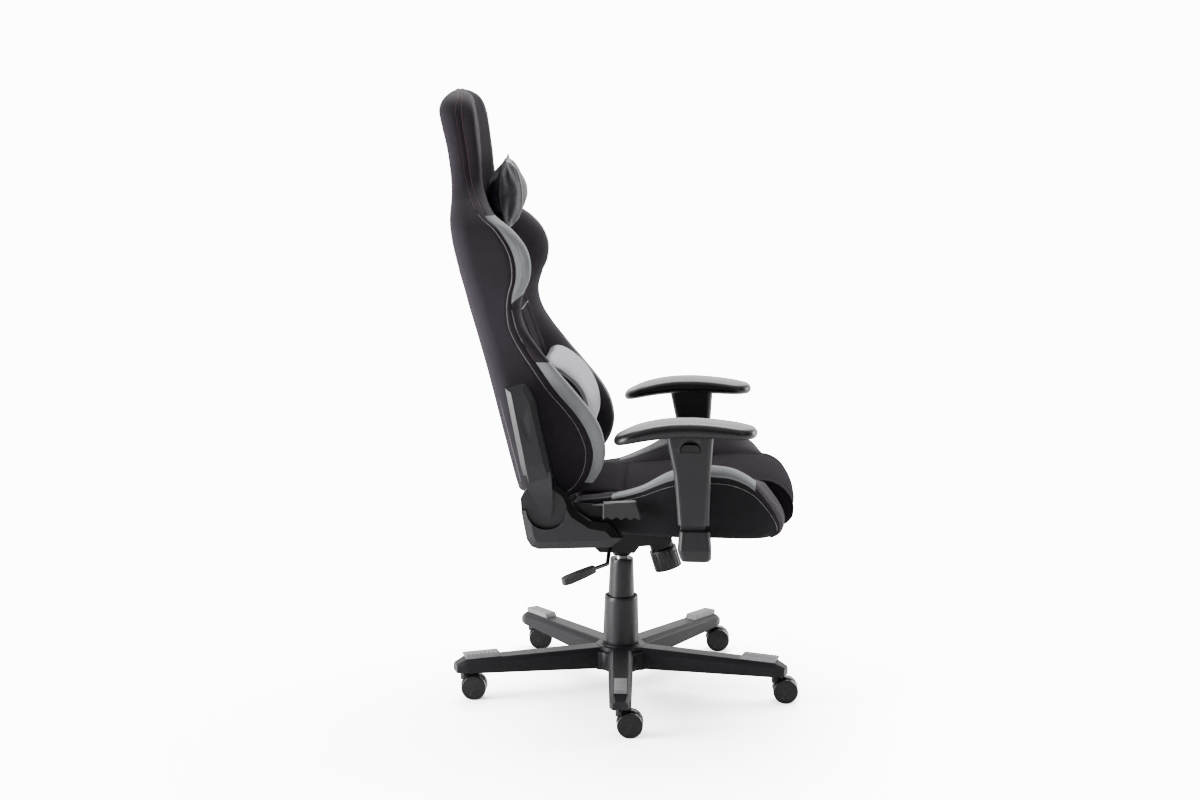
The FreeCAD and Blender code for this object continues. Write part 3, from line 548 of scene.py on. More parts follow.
def make_materials():
    cloth_material("black_cloth", (0.0060, 0.0038, 0.0068), (0.0175, 0.0116, 0.0193), 0.0011, 0.5, 0.05)
    # painted shade: a darker copy of black_cloth for the seat bolsters' underside and outer wall
    cloth_material("shaded_side_cloth", (0.0034, 0.0026, 0.0038), (0.0094, 0.0075, 0.0104), 0.0011, 0.5, 0.04)
    cloth_material("panel_cloth", (0.0052, 0.0036, 0.0058), (0.0150, 0.0108, 0.0165), 0.0011, 0.5, 0.0,
                   mirror=0.04)
    # painted shade: a much darker copy of black_cloth on the faces of the sewn channels, for the shade in the
    # grooves
    cloth_material("shaded_channel_cloth", (0.0018, 0.0014, 0.0020), (0.0042, 0.0034, 0.0046), 0.0011, 0.5, 0.02)
    cloth_material("grey_cloth", *GREY_KNIT)
    taper_accent(cloth_material("accent_cloth", *GREY_KNIT))
    cloth_material("pillow_cloth", (0.0048, 0.0048, 0.0088), (0.0130, 0.0130, 0.0225), 0.0007, 0.25, 0.04,
                   0.45)
    cloth_material("satin_cloth", (0.128, 0.120, 0.140), (0.225, 0.213, 0.243), 0.0007, 0.2, 0.08, 0.42)
    for name, dark, light in (("pale_thread", (0.34, 0.325, 0.33), (0.60, 0.58, 0.585)),
                              ("red_thread", (0.16, 0.085, 0.095), (0.32, 0.19, 0.20)),
                              ("grey_thread", (0.045, 0.048, 0.049), (0.08, 0.084, 0.086))):
        cloth_material(name, dark, light, 0.0008, 0.4, 0.1, by_uv=False)
    plastic_material("charcoal_plastic", CHARCOAL, 0.36, 900.0, 0.12)
    banded_plastic("cover_plastic", CHARCOAL, (0.0016, 0.0016, 0.0022), 0.36, 900.0, 0.12)
    plastic_material("arm_skin", (0.0060, 0.0058, 0.0068), 0.26, 700.0, 0.2, mirror=0.27)
    plastic_material("base_nylon", (0.0052, 0.0045, 0.0060), 0.47, 420.0, 0.55, mirror=0.2)
    plastic_material("foot_rubber", (0.150, 0.152, 0.156), 0.62, 500.0, 0.4)
    plastic_material("caster_nylon", (0.0036, 0.0033, 0.0040), 0.24, 900.0, 0.05, gloss=0.1, mirror=0.2)
    plastic_material("lever_plastic", (0.0045, 0.0045, 0.0052), 0.38, 800.0, 0.2)
    metal_material("black_steel", (0.004, 0.004, 0.0045), 0.45, 0.0)
    metal_material("zinc_steel", (0.30, 0.30, 0.32), 0.24, 1.0)
    floor = new_material("floor", (0.86, 0.86, 0.87), 0.55, 0.5)
    slow = noise(floor, node(floor, "ShaderNodeTexCoord"), 2.0)
    tone = mix_colors(floor, slow, (0.84, 0.84, 0.85), (0.88, 0.88, 0.885))
    wire(floor, tone, shader_of(floor).inputs["Base Color"])


# ---------------------------------------------------------------- the back's cover
# Outlines are (Y, Z) in the side view; the other values are functions of height.
BACK_RIDGE = path([(118, 443), (88, 449), (54, 472), (34, 503), (27, 540), (37, 584), (58, 620),
                   (98, 668), (139, 715), (168, 752), (188, 786), (195, 820), (189, 848), (176, 878),
                   (174, 912), (185, 944), (211, 974), (248, 1001), (267, 1030), (281, 1068),
                   (286, 1117), (292, 1165), (298, 1203), (308, 1226), (322, 1238), (333, 1242)])
REAR = Curve([(440, 193), (455, 199), (650, 250), (840, 299), (962, 330), (1046, 337),
              (1126, 349), (1170, 360), (1200, 367), (1222, 361), (1236, 348), (1242, 338)])
OUTER = Curve([(440, 203), (475, 212), (690, 214), (745, 221), (800, 236), (858, 248),
               (915, 250), (960, 247), (990, 236), (1012, 215), (1032, 187), (1056, 161),
               (1086, 149), (1130, 143), (1180, 136), (1208, 124), (1226, 100),
               (1236, 60), (1242, 0)])
RIDGE_X = Curve([(440, 195), (475, 206), (690, 207), (800, 216), (858, 232), (915, 238),
                 (960, 232), (990, 216), (1012, 193), (1032, 168), (1056, 148),
                 (1086, 139), (1130, 133), (1180, 127), (1208, 113), (1226, 88),
                 (1236, 52), (1242, 0)])
PANEL = Curve([(440, 128), (470, 120), (520, 124), (600, 142), (695, 169), (758, 191),
               (805, 208), (910, 236), (1000, 263.5), (1065, 280), (1115, 285),
               (1165, 290), (1205, 298), (1228, 308), (1242, 331)])
SEAM_BACK = Curve([(440, 5), (483, 18), (545, 25), (620, 35), (660, 37), (714, 27),
                   (750, 21), (800, 14), (830, 17), (886, 27.5), (945, 30), (985, 22),
                   (1011, 14), (1032, 16), (1117, 21), (1200, 23), (1232, 10), (1242, 6)])
CREASE_X = Curve([(440, 150), (700, 152), (900, 158), (1000, 150), (1060, 118),
                  (1150, 96), (1215, 70), (1242, 0)])
CREASE_DEPTH = Curve([(440, 6), (700, 9), (960, 10), (1040, 4), (1080, 0), (1242, 0)])
CHANNEL_DEPTH = Curve([(440, 9), (930, 9), (1000, 0), (1242, 0)])
CHANNEL_X = 57.0           # the two sewn channels of the centre panel
# width of the sewn strip between the two rows of stitches
STRIP = Curve([(440, 14), (780, 14), (840, 7.5), (990, 8.5), (1020, 14), (1242, 14)])
SEAM_PINCH = 1.8           # how far a row of stitches pulls the cloth in
BACK_COUNTS = (10, 6, 12, 4, 8, 14, 10, 8)
BACK_ROWS = 140
OUT, IN = Vector((1, 0, 0)), Vector((-1, 0, 0))


def column_of(counts, feature):
    """The column of a section's feature point."""
    return sum(counts[:feature])


FAR_SEAM, NEAR_SEAM, RIDGE, CREASE, CHANNEL = (column_of(BACK_COUNTS, n) for n in (3, 4, 5, 6, 7))


def back_row(share):
    """One half of the back's section through a point of the wing's ridge, rear middle to front middle."""
    y, z = BACK_RIDGE(share)
    low = 500.0
    rear_z = z if z > low else 452.0 + (z - 441.0) * (low - 452.0) / (low - 441.0)
    rear = Vector((0, REAR(rear_z), rear_z))
    half, ridge_x = OUTER(z), min(RIDGE_X(z), OUTER(z))
    ridge = Vector((ridge_x, y, z))
    to_rear = rear - Vector((0, y, z))
    reach = to_rear.length
    to_rear.normalize()
    seam = SEAM_BACK(z)
    strip = min(STRIP(z), reach * 0.18)
    corner = min(34.0, (reach - seam - strip) * 0.8, half)
    near = ridge + to_rear * seam
    far = ridge + to_rear * (seam + strip)
    near.x, far.x = half - min(3.0, half * 0.03), half
    turn = Vector((half, rear.y, rear.z)) - to_rear * corner
    flat = Vector((max(0.0, half - corner * 1.1), rear.y + 2.0, rear.z))
    middle_z = max(z, 452.0) if z < low else z
    front = Vector((0, PANEL(middle_z), middle_z))
    crease_x = min(CREASE_X(z), ridge_x * 0.9)
    crease = Vector((crease_x, front.y + CREASE_DEPTH(z), middle_z))
    channel = Vector((crease_x * CHANNEL_X / 152.0, front.y + 1.0, middle_z))
    depth = min(1.0, CREASE_DEPTH(z) / 6.0)
    fall = ((crease - ridge).normalized() * 0.8 + Vector((-0.1, 0.5 * depth, 0))).normalized()
    rise = Vector((-1.0, -0.5 * depth, 0)).normalized()
    roll = (IN - to_rear * 0.18).normalized()
    points = [Vector((0, rear.y + 5.0, rear.z)), flat, turn, far, near, ridge, crease, channel, front]
    tangents = [(OUT, OUT), (OUT, OUT), (-to_rear, -to_rear), (-to_rear, -to_rear),
                (-to_rear, -to_rear), (roll, roll), (fall, rise), (IN, IN), (IN, IN)]
    row = section(points, tangents, BACK_COUNTS)
    for column in (FAR_SEAM, NEAR_SEAM):
        row[column].x -= min(SEAM_PINCH, row[column].x)
    for column, part in ((CHANNEL, 1.0), (CHANNEL - 1, 0.15), (CHANNEL + 1, 0.15)):
        row[column].y += CHANNEL_DEPTH(z) * part
    return row


def mirrored_loop(half):
    """A closed ring from one half: the other half is its mirror image."""
    return half + [Vector((-p.x, p.y, p.z)) for p in reversed(half[1:-1])]


ACCENTS = ((470.0, 709.0), (826.0, 998.0))


def in_accent(z):
    """The grey side panels of the back, at the waist and at the shoulder."""
    return any(low < z < high for low, high in ACCENTS)


def add_back(rows_half):
    rows = [mirrored_loop(row) for row in rows_half]
    count = len(rows[0])

    def cloth(i, j):
        column = j if j < count // 2 else count - 1 - j
        if in_accent(rows[i][RIDGE].z) and NEAR_SEAM <= column < RIDGE + 2:
            return 1
        # the channels' faces get the darker cloth as painted shade
        if CHANNEL - 1 <= column <= CHANNEL and CHANNEL_DEPTH(rows[i][CHANNEL].z) > 1.0:
            return 2
        if column > CREASE:
            return 3
        return 0

    piece = grid_piece("back_cover", rows, loop=True, capped=True, slots=cloth)
    paint(piece, MATERIALS["black_cloth"], MATERIALS["accent_cloth"], MATERIALS["shaded_channel_cloth"],
          MATERIALS["panel_cloth"])
    subdivide(piece)
    soften(piece, 0.0012, 0.05)
    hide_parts("back_cushion", "back_bolster_right", "back_bolster_left")
    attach(piece, "back")
    return piece


def soften(piece, depth, size):
    """Slow, shallow unevenness of stuffed cloth."""
    texture = bpy.data.textures.new(piece.name + "_unevenness", "CLOUDS")
    texture.noise_scale = size
    modifier = piece.modifiers.new("unevenness", "DISPLACE")
    modifier.texture = texture
    modifier.strength = depth
    modifier.mid_level = 0.5
    modifier.texture_coords = "LOCAL"


def line_on(rows, column, keep, side=1, shift=0.0):
    """Runs of points along one column of half-section rows; shift moves them towards the next column."""
    runs, spots = [], []
    for i, row in enumerate(rows):
        here = row[column].lerp(row[min(column + 1, len(row) - 1)], shift)
        if keep(here):
            spots.append(Vector((here.x * side, here.y, here.z)))
        if (not keep(here) or i == len(rows) - 1) and spots:
            if len(spots) > 2:
                runs.append(spots)
            spots = []
    return runs


def add_thread(name, surface, runs, material, body, **sizes):
    """Stitches along runs of points; sizes go to dashes."""
    parts = []
    for line in runs:
        parts.extend(dashes(surface, line, **sizes))
    piece = join_meshes(name, parts)
    paint(piece, MATERIALS[material])
    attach(piece, body)


CROSS_SEAM = 800.0         # height of the stitches across the centre panel


def add_back_stitches(rows, surface):
    pale, red, beside, inside = [], [], [], []
    for side in (-1, 1):
        pale += line_on(rows, FAR_SEAM, lambda p: 455 < p.z < 1010, side)
        red += line_on(rows, FAR_SEAM, lambda p: 1010 <= p.z < 1239, side)
        red += line_on(rows, NEAR_SEAM, lambda p: 1000 < p.z < 1239 or 714 < p.z < 750, side, shift=-0.2)
        pale += line_on(rows, NEAR_SEAM, lambda p: 750 <= p.z < 826, side, shift=-0.2)
        pale += line_on(rows, column_of(BACK_COUNTS, 1) + 3, lambda p: 470 < p.z < 640, side)
        beside += line_on(rows, CHANNEL, lambda p: 470 < p.z < 975, side, shift=0.6)
        inside += line_on(rows, NEAR_SEAM + 3, lambda p: 850 < p.z < 985, side)
    add_thread("accent_stitches", surface, inside, "grey_thread", "back", lift=0.0)
    across = [[Vector((x, PANEL(CROSS_SEAM), CROSS_SEAM)) for x in range(start, start + reach, 4)]
              for start, reach in ((-96, 37), (-48, 97), (60, 37))]
    add_thread("back_seam_stitches", surface, pale, "pale_thread", "back")
    add_thread("head_seam_stitches", surface, red, "red_thread", "back")
    add_thread("channel_stitches", surface, beside, "pale_thread", "back", radius=0.9, lift=0.5)
    add_thread("panel_cross_stitches", surface, across, "pale_thread", "back", radius=0.9)


# ---------------------------------------------------------------- the seat's covers
# rows of the bolster's outline: Y, Z, the foot's Y, half width, seam drop and top seam's inset
SEAT_RAIL = [(92, 384, 84, 205, 2, 2), (95, 408, 84, 206, 2, 2), (84, 432, 80, 208, 2, 2),
             (40, 441, 40, 211, 2, 4), (14, 446, 14, 214, 3, 10), (-40, 467, -40, 234, 5, 22),
             (-103, 504, -100, 246, 14, 34), (-150, 515, -146, 248, 16, 34), (-182, 517, -180, 248, 17, 22),
             (-227, 511, -222, 248, 16, 8), (-268, 488, -256, 247, 14, 2), (-303, 449, -284, 240, 16, 2),
             (-322, 420, -294, 232, 17, 2), (-327, 400, -298, 228, 16, 2), (-321, 383, -299, 226, 10, 2),
             (-303, 374.5, -299, 226, 4, 2)]
CUSHION_EDGE = Curve([(-360, 440), (-300, 470), (-284, 474), (-236, 473), (-185, 469),
                      (-93, 457), (-21, 450), (44, 449), (100, 449)])
BOLSTER_FOOT = 376.0       # height of the bolsters' underside
BOLSTER_WALL = 151.0       # X of the bolsters' inner wall
BOLSTER_COUNTS = (4, 8, 8, 8, 8, 10, 5, 5)
BOLSTER_ROWS = 84
BOLSTER_SEAM, BOLSTER_RIDGE, TOP_SEAM = (column_of(BOLSTER_COUNTS, n) for n in (3, 4, 5))


def rail(rows):
    """A curve through rows of numbers, by the running length of the first two."""
    rows = [Vector(row) for row in rows]
    total = [0.0]
    for a, b in zip(rows, rows[1:]):
        total.append(total[-1] + math.hypot(b[0] - a[0], b[1] - a[1]))
    return Curve([(t / total[-1], row) for t, row in zip(total, rows)])


SEAT_OUTLINE = rail(SEAT_RAIL)


def bolster_row(share):
    """One closed section of the bolster on +X, from its inner foot round the outside to the cushion."""
    y, z, foot_y, half, drop, inset = SEAT_OUTLINE(share)
    up = Vector((0, y - foot_y, z - BOLSTER_FOOT))
    reach = max(up.length, 0.5)
    up.normalize()
    round_x = min(26.0, reach * 0.6)
    ridge = Vector((half - round_x, y, z))
    foot = Vector((half - 5.0, foot_y, BOLSTER_FOOT))
    low = Vector((half, foot_y, BOLSTER_FOOT)) + up * min(10.0, reach * 0.3)
    seam = Vector((half - 1.0, y, z)) - up * min(drop, reach * 0.5)
    inner_z = min(z - 1.0, CUSHION_EDGE(y) - 6.0)
    wall = Vector((BOLSTER_WALL, y, inner_z))
    top = ridge.lerp(wall, min(0.75, inset / max(1.0, (wall - ridge).length)))
    top += up * min(6.0, inset * 0.25)
    inner_foot = Vector((BOLSTER_WALL, foot_y, BOLSTER_FOOT))
    down = -up
    points = [inner_foot, foot, low, seam, ridge, top, wall, inner_foot.lerp(wall, 0.5), inner_foot]
    slope = (wall - ridge).normalized()
    tangents = [(OUT, OUT), (OUT, OUT), (up, up), (up, up), (IN, IN), (slope, slope),
                ((slope + down).normalized(), down), (down, down), (down, down)]
    row = section(points, tangents, BOLSTER_COUNTS)
    for column in (BOLSTER_SEAM, TOP_SEAM):
        row[column] -= (OUT if column == BOLSTER_SEAM else up) * 1.5
    return row[:-1]


def add_bolster(name, side, rows):
    shaped = [[Vector((p.x * side, p.y, p.z)) for p in row] for row in rows]
    ridge_y = [row[BOLSTER_RIDGE].y for row in rows]

    def cloth(i, j):
        if BOLSTER_SEAM <= j < TOP_SEAM and -268.0 < ridge_y[i] < 20.0:
            return 1
        # slot 2, the underside and outer wall, takes the darker copy of the black cloth as painted shade
        return 2 if j < BOLSTER_SEAM else 0

    piece = grid_piece(name, shaped, loop=True, capped=True, slots=cloth)
    paint(piece, MATERIALS["black_cloth"], MATERIALS["grey_cloth"], MATERIALS["shaded_side_cloth"])
    subdivide(piece)
    soften(piece, 0.0012, 0.05)
    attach(piece, "seat")
    return piece


CUSHION_PATH = path([(80, 384), (86, 420), (80, 444), (60, 450), (44, 450), (22, 450), (8, 450),
                     (-8, 450.5), (-21, 451), (-50, 453.5), (-93, 458), (-140, 464), (-185, 469), (-236, 473),
                     (-284, 474), (-308, 470), (-329, 457), (-343, 438), (-347, 418), (-344, 398),
                     (-332, 385), (-310, 381), (-280, 381)])
# across the cushion: X and height above the path, both in millimetres
CUSHION_ACROSS = [(0, 7), (14, 7), (30, 6.8), (46, 6.4), (62, 5.8), (78, 5.1), (94, 4.2), (108, 3.2),
                  (120, 2.2), (130, 1.0), (138, -0.6), (144, -3), (147.5, -7), (149, -13), (149.5, -24),
                  (149.5, -38)]
CUSHION_ROWS = 120
CUSHION_EDGE_COLUMN = 4    # where the front's piping runs, counted from the side wall's foot


def cushion_rows():
    """The centre cushion, with a sewn groove across it and a boxed front."""
    rows = []
    for i in range(CUSHION_ROWS + 1):
        share = i / CUSHION_ROWS
        here = CUSHION_PATH(share)
        ahead = CUSHION_PATH(min(1.0, share + 0.004)) - CUSHION_PATH(max(0.0, share - 0.004))
        up = Vector((ahead.y, -ahead.x)).normalized()
        gap = abs(here.x + 2.0)
        groove = 7.0 * math.exp(-(gap / 5.0) ** 2) if here.y > 440 else 0.0
        front = max(0.0, min(1.0, (here.x + 150.0) / -120.0))
        row = []
        for side in (-1, 1):
            half = []
            for x, lift in CUSHION_ACROSS:
                h = lift - groove * (1.0 if x < 132 else 0.4)
                if here.y < 420:
                    h = min(h, 0.5 * lift)
                edge = min(1.0, max(0.0, (x - 128.0) / 14.0)) * 2.4 * front
                spot = here + up * (h + (edge if lift > -4 else 0.0))
                half.append(Vector((x * side, spot.x, spot.y)))
            row += half[::-1] if side < 0 else half[1:]
        rows.append(row)
    return rows


def add_seat():
    rows = [bolster_row(i / BOLSTER_ROWS) for i in range(BOLSTER_ROWS + 1)]
    right = add_bolster("seat_bolster_cover_right", -1, rows)
    left = add_bolster("seat_bolster_cover_left", 1, rows)
    grid = cushion_rows()
    cushion = grid_piece("seat_cushion_cover", grid, loop=True, capped=True)
    paint(cushion, MATERIALS["panel_cloth"])
    subdivide(cushion)
    soften(cushion, 0.0016, 0.06)
    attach(cushion, "seat")
    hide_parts("seat_bolster_right")
    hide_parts("seat_bolster_left")
    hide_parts("seat_cushion")
    surface = Surface(right, left, cushion)
    pale, red = [], []
    for side in (-1, 1):
        pale += line_on(rows, BOLSTER_SEAM - 1, lambda p: p.z > 385, side)
        pale += line_on(rows, TOP_SEAM + 1, lambda p: -260 < p.y < 10 and p.z > 440, side)
        red += line_on(rows, BOLSTER_SEAM + 2, lambda p: p.y < -266 and p.z > 380, side)
        red += line_on(rows, BOLSTER_RIDGE, lambda p: p.y < -268 and p.z > 380, side)
    add_thread("seat_seam_stitches", surface, pale, "pale_thread", "seat")
    add_thread("seat_front_stitches", surface, red, "red_thread", "seat")
    edge = CUSHION_EDGE_COLUMN
    cords = []
    for column in (edge, len(grid[0]) - 1 - edge):
        line = [row[column] for row in grid if row[column].y < -150 and row[column].z > 396]
        cords.append(piping(surface, line, 1.7))
    cord = join_meshes("seat_front_piping", cords)
    paint(cord, MATERIALS["black_cloth"])
    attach(cord, "seat")


# ---------------------------------------------------------------- pillows
def simulate(piece, pressure, frames, pins, shrink=0.0, stiffness=12.0, bending=0.6):
    """Puff a sewn shape with air, keep the seam's vertices, and apply the result."""
    group = piece.vertex_groups.new(name="seam")
    for index, weight in pins:
        group.add([index], weight, "REPLACE")
    modifier = piece.modifiers.new("puff", "CLOTH")
    settings = modifier.settings
    settings.quality = 6
    settings.mass = 0.15
    settings.tension_stiffness = stiffness
    settings.compression_stiffness = stiffness
    settings.shear_stiffness = stiffness * 0.6
    settings.bending_stiffness = bending
    settings.air_damping = 4.0
    settings.use_pressure = True
    settings.uniform_pressure_force = pressure
    settings.shrink_min = shrink
    settings.effector_weights.gravity = 0.0
    settings.vertex_group_mass = "seam"
    modifier.collision_settings.use_collision = False
    modifier.point_cache.frame_start = 1
    modifier.point_cache.frame_end = frames
    scene = bpy.context.scene
    for frame_number in range(1, frames + 1):
        scene.frame_set(frame_number)
    shaped = piece.evaluated_get(bpy.context.evaluated_depsgraph_get())
    spots = [v.co.copy() for v in shaped.data.vertices]
    for vertex, spot in zip(piece.data.vertices, spots):
        vertex.co = spot
    piece.modifiers.remove(modifier)
    scene.frame_set(1)


def lay_against(piece, point, lean_degrees, gap=0.4):
    """Flatten whatever of a pillow lies behind a leaning plane onto that plane."""
    lean = math.radians(lean_degrees)
    out = Vector((0, -math.cos(lean), math.sin(lean)))
    point = Vector(point) * MM
    for vertex in piece.data.vertices:
        depth = (vertex.co - point).dot(out) - gap * MM
        if depth < 0:
            vertex.co -= out * depth


def pins_near(piece, spots, reach=0.6):
    """The vertices of a piece that lie on the given points."""
    close = {tuple(round(c / reach) for c in spot) for spot in spots}
    pins = []
    for vertex in piece.data.vertices:
        key = [round(c / MM / reach) for c in vertex.co]
        if any((key[0] + a, key[1] + b, key[2] + c) in close
               for a in (-1, 0, 1) for b in (-1, 0, 1) for c in (-1, 0, 1)):
            pins.append((vertex.index, 1.0))
    return pins


HEAD_CENTRE = Vector((0, 239, 1035))
HEAD_PILLOW_LEAN = math.radians(3.0)
HEAD_PILLOW_TURN = 0.07    # the pillow's far end hangs further back than its near one


def head_pillow_point(x, y, h, bow):
    """A point of the head pillow from its own axes; bow bends its middle back towards the chair."""
    up = Vector((0, math.sin(HEAD_PILLOW_LEAN), math.cos(HEAD_PILLOW_LEAN)))
    out = Vector((0, -math.cos(HEAD_PILLOW_LEAN), math.sin(HEAD_PILLOW_LEAN)))
    return HEAD_CENTRE + Vector((x, HEAD_PILLOW_TURN * x, 0)) + up * y + out * (h - bow)


def add_head_pillow():
    """A knife-edged pillow of two panels sewn round their edge, with its corners drawn out."""
    half_wide, half_tall, front_bulge, back_bulge = 133.0, 68.0, 33.0, 30.0
    across, tall = 52, 28
    rows, seam, lines = [], [], {-1: [], 1: []}
    for i in range(tall + 1):
        v = -1 + 2 * i / tall
        ring = []
        for face in (1, -1):
            for j in range(across + 1) if face > 0 else range(across - 1, 0, -1):
                u = -1 + 2 * j / across
                ear = (abs(u) * abs(v)) ** 5
                x = u * half_wide * (1 - 0.06 * (1 - v * v)) + math.copysign(ear * 5.0, u)
                y = v * half_tall * (1 - 0.07 * (1 - u * u)) + math.copysign(ear * 6.0, v)
                swell = (max(0.0, 1 - u ** 4) * max(0.0, 1 - v * v)) ** 0.6
                h = swell * (front_bulge if face > 0 else -back_bulge)
                spot = head_pillow_point(x, y, h, 15.0 * (1 - v * v) * (0.35 + 0.65 * u * u))
                ring.append(spot)
                if swell < 1e-6:
                    seam.append(spot)
                if face > 0 and abs(abs(x) - 78.0) < half_wide / across and abs(v) < 0.93:
                    lines[1 if x > 0 else -1].append(spot)
        rows.append(ring)
    piece = grid_piece("head_pillow_cover", rows, loop=True)
    simulate(piece, 2.2, 16, pins_near(piece, seam), shrink=-0.05)
    lay_against(piece, (0, 274, 1065), 11.0)
    paint(piece, MATERIALS["pillow_cloth"])
    subdivide(piece)
    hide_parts("head_pillow")
    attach(piece, "head_cushion")
    surface = Surface(piece)
    rim = [ring[0] for ring in rows] + rows[-1][1:across] + [ring[across] for ring in rows[::-1]]
    rim += rows[0][across - 1:0:-1]
    cord = join_meshes("head_pillow_piping", [piping(surface, rim, 1.3, closed=True)])
    paint(cord, MATERIALS["pillow_cloth"])
    panel_cord = join_meshes("head_pillow_panel_piping",
                             [piping(surface, line, 1.1) for line in lines.values()])
    paint(panel_cord, MATERIALS["pale_thread"])
    for piece in (cord, panel_cord):
        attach(piece, "head_cushion")


LUMBAR_PROFILE = [(160, 700), (146, 707), (128, 702), (105, 686), (84, 664), (68, 639), (57, 611), (54, 580),
                  (62, 560), (78, 549), (98, 547), (113, 556), (126, 590), (142, 650)]
WRAP_HALF = 137.0          # half width of the lumbar pillow's grey wrap


def add_lumbar_pillow():
    """An arched pillow with a satin wrap round its middle and black ends."""
    profile = path(LUMBAR_PROFILE + LUMBAR_PROFILE[:1])
    middle = Vector((100, 632))
    columns, half = 72, 149.0
    places = [-1 + 2 * i / 56 for i in range(57)]
    rows, pins = [], []
    for place in places:
        x = half * math.sin(place * math.pi / 2) * 0.35 + half * place * 0.65
        size = max(0.12, (1 - min(1.0, abs(x) / half) ** 7) ** 0.5)
        sewn = abs(abs(x) - WRAP_HALF) < 4.0
        pinch = 0.985 if sewn else 1.0
        ring = []
        for k in range(columns):
            spot = profile(k / columns)
            spot = middle + (spot - middle) * size * pinch
            ring.append(Vector((x, spot.x, spot.y)))
        rows.append(ring)
        if sewn or abs(x) > half * 0.985:
            pins += ring
    xs = [row[0].x for row in rows]

    def cloth(i, j):
        return 0 if abs((xs[i] + xs[min(i + 1, len(xs) - 1)]) / 2) < WRAP_HALF else 1

    piece = grid_piece("lumbar_pillow_cover", rows, loop=True, capped=True, slots=cloth)
    simulate(piece, 1.6, 14, pins_near(piece, pins), shrink=-0.035)
    lay_against(piece, (0, 122, 550), 14.2)
    paint(piece, MATERIALS["satin_cloth"], MATERIALS["black_cloth"])
    subdivide(piece)
    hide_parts("lumbar_pillow")
    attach(piece, "lumbar_cushion")
    surface = Surface(piece)
    cords = []
    for side in (-1, 1):
        near = min(rows, key=lambda ring: abs(ring[0].x - side * WRAP_HALF))
        cords.append(piping(surface, near, 1.4, closed=True))
    cord = join_meshes("lumbar_pillow_piping", cords)
    paint(cord, MATERIALS["pillow_cloth"])
    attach(cord, "lumbar_cushion")


# ---------------------------------------------------------------- armrests
PAD_TOP = Curve([(-270, 602.5), (-225, 610.5), (-180, 615.5), (-139, 617), (-90, 614),
                 (-40, 603), (8, 582)])
PAD_UNDER = Curve([(-270, 585.5), (-225, 585.5), (-180, 586.5), (-139, 587), (-90, 584.5),
                   (-40, 577), (8, 565.5)])
PAD_CORNER = 12.0          # radius of the pad's rounded edge
PAD_CROWN = 2.5


def pad_section(wide, tall):
    """Sideways and upward offsets of a rounded rectangle, starting on the outer edge."""
    across, up = min(PAD_CORNER, wide * 0.95), min(PAD_CORNER, tall * 0.9)
    spots = []
    for x_sign, z_sign, start in ((1, 1, 0), (-1, 1, 90), (-1, -1, 180), (1, -1, 270)):
        for step in range(7):
            angle = math.radians(start + 15 * step)
            spots.append((x_sign * (wide - across) + across * math.cos(angle),
                          z_sign * (tall - up) + up * math.sin(angle)))
        if x_sign == z_sign:
            spots += [(x_sign * (wide - across) * share, z_sign * tall) for share in (0.5, 0.0, -0.5)]
    return spots


def arm_pad(name, side):
    """The arched pad: rounded in section, with full round ends."""
    rows = []
    steps = 72
    rear, front, half = 7.0, -269.0, 46.0
    for i in range(steps + 1):
        angle = math.pi * i / steps
        y = (rear + front) / 2 + math.cos(angle) * (rear - front) / 2
        edge = min(rear - y, y - front)
        wide = half * math.sqrt(max(0.0, 1 - (1 - min(1.0, edge / half)) ** 2.3)) if edge > 0 else 0.0
        high, low = PAD_TOP(y), PAD_UNDER(y)
        middle, tall = (high + low) / 2, (high - low) / 2
        swell = math.sqrt(max(0.0, 1 - (1 - min(1.0, edge / 9.0)) ** 2)) if edge > 0 else 0.0
        row = []
        for x, z in pad_section(max(wide, 0.05), tall * (0.12 + 0.88 * swell)):
            crown = PAD_CROWN * (x / half) ** 2 if z > 0 else 0.0
            row.append(Vector((side * ARM_X + side * x, y, middle + z - crown)))
        rows.append(row)
    piece = grid_piece(name, rows, loop=True, capped=True)
    paint(piece, MATERIALS["arm_skin"])
    subdivide(piece)
    return piece


def add_arm_pads():
    for side, word in ((-1, "right"), (1, "left")):
        piece = arm_pad("arm_pad_skin_" + word, side)
        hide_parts("arm_pad_" + word)
        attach(piece, "arm_" + word)


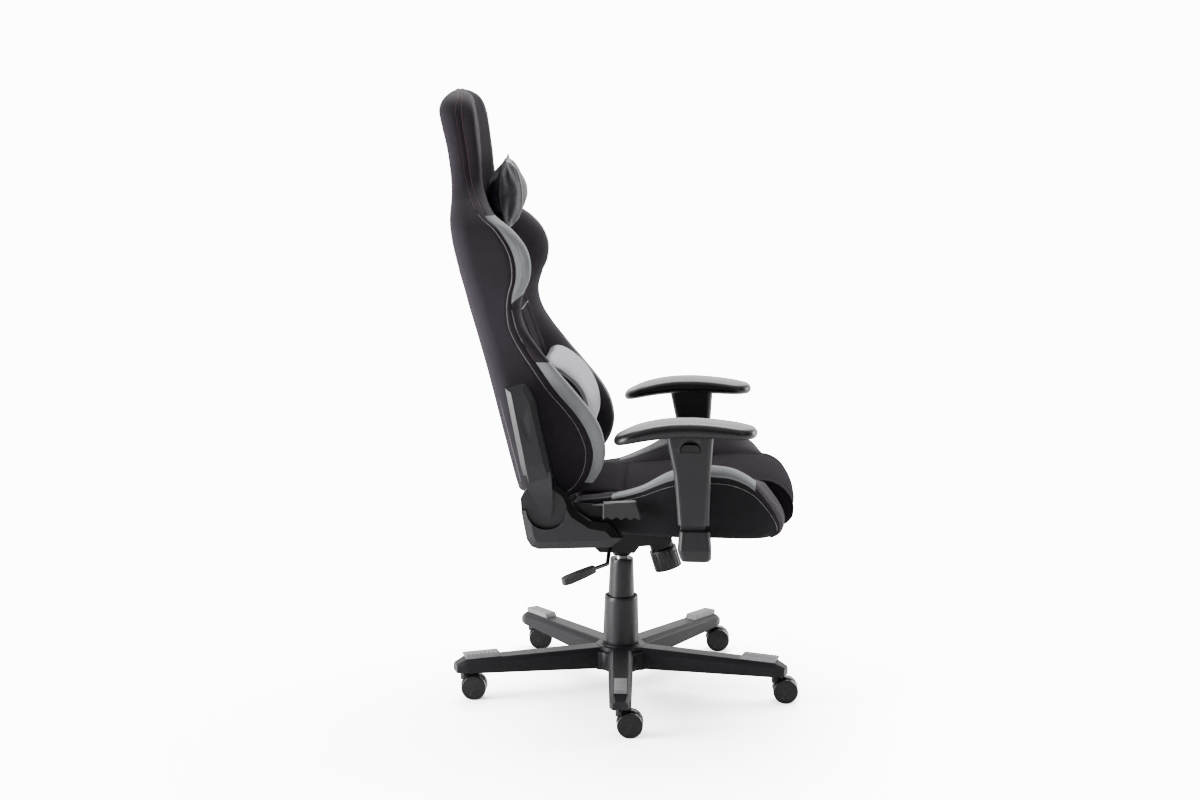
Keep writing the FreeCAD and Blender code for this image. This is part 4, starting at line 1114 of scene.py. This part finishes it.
# ---------------------------------------------------------------- the CAD's hard parts
def both(*names):
    return [name + side for name in names for side in ("_right", "_left")]


FINISH = {
    "base_nylon": ["star_base"],
    "foot_rubber": ["leg_pads"],
    "black_steel": ["gas_cylinder", "tilt_housing", "tilt_top_plate", "seat_frame", "back_frame",
                    "height_lever_rod", "recline_lever_arm", "tilt_pivot_pin",
                    *both("recline_plate", "hinge_plate")],
    "zinc_steel": ["piston_rod", "thrust_bearing", "gas_spring_tube", "tension_spring",
                   "recliner_cross_shaft"],
    "charcoal_plastic": ["cylinder_guide", "column_cover_lower", "column_cover_middle",
                         "column_cover_upper", "seat_pan",
                         *both("arm_cup", "arm_sleeve", "arm_bracket", "back_arm_cover")],
    "cover_plastic": both("side_cover"),
    "lever_plastic": ["tension_knob", "height_lever_grip", "recline_lever_grip", *both("arm_button")],
    "caster_nylon": ["caster_%s_%d" % (kind, n) for kind in ("hood", "wheels") for n in range(1, 6)],
}
# radius of the rounded edges, by the start of the name
EDGE_ROUND = {"star_base": 2.2, "side_cover": 1.2, "arm_sleeve": 2.5, "arm_cup": 2.5, "back_arm_cover": 1.2}


def finish_hard_parts():
    """The CAD's own parts, with their material and small rounded edges."""
    for finish, names in FINISH.items():
        for name in names:
            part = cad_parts[name]
            paint(part, *[MATERIALS[finish]] * max(1, len(part.data.materials)))
            weld = part.modifiers.new("weld", "WELD")
            weld.merge_threshold = 0.00002
            edge = part.modifiers.new("edges", "BEVEL")
            edge.width = next((r for key, r in EDGE_ROUND.items() if name.startswith(key)), 0.6) * MM
            edge.segments = 2
            edge.limit_method = "ANGLE"
            edge.angle_limit = math.radians(15 if name.startswith("arm_") else 28)
            edge.harden_normals = True


# ---------------------------------------------------------------- run
make_materials()
add_camera()
add_studio()
back_half = [back_row(i / BACK_ROWS) for i in range(BACK_ROWS + 1)]
back_cover = add_back(back_half)
add_back_stitches(back_half, Surface(back_cover))
add_seat()
add_head_pillow()
add_lumbar_pillow()
add_arm_pads()
finish_hard_parts()
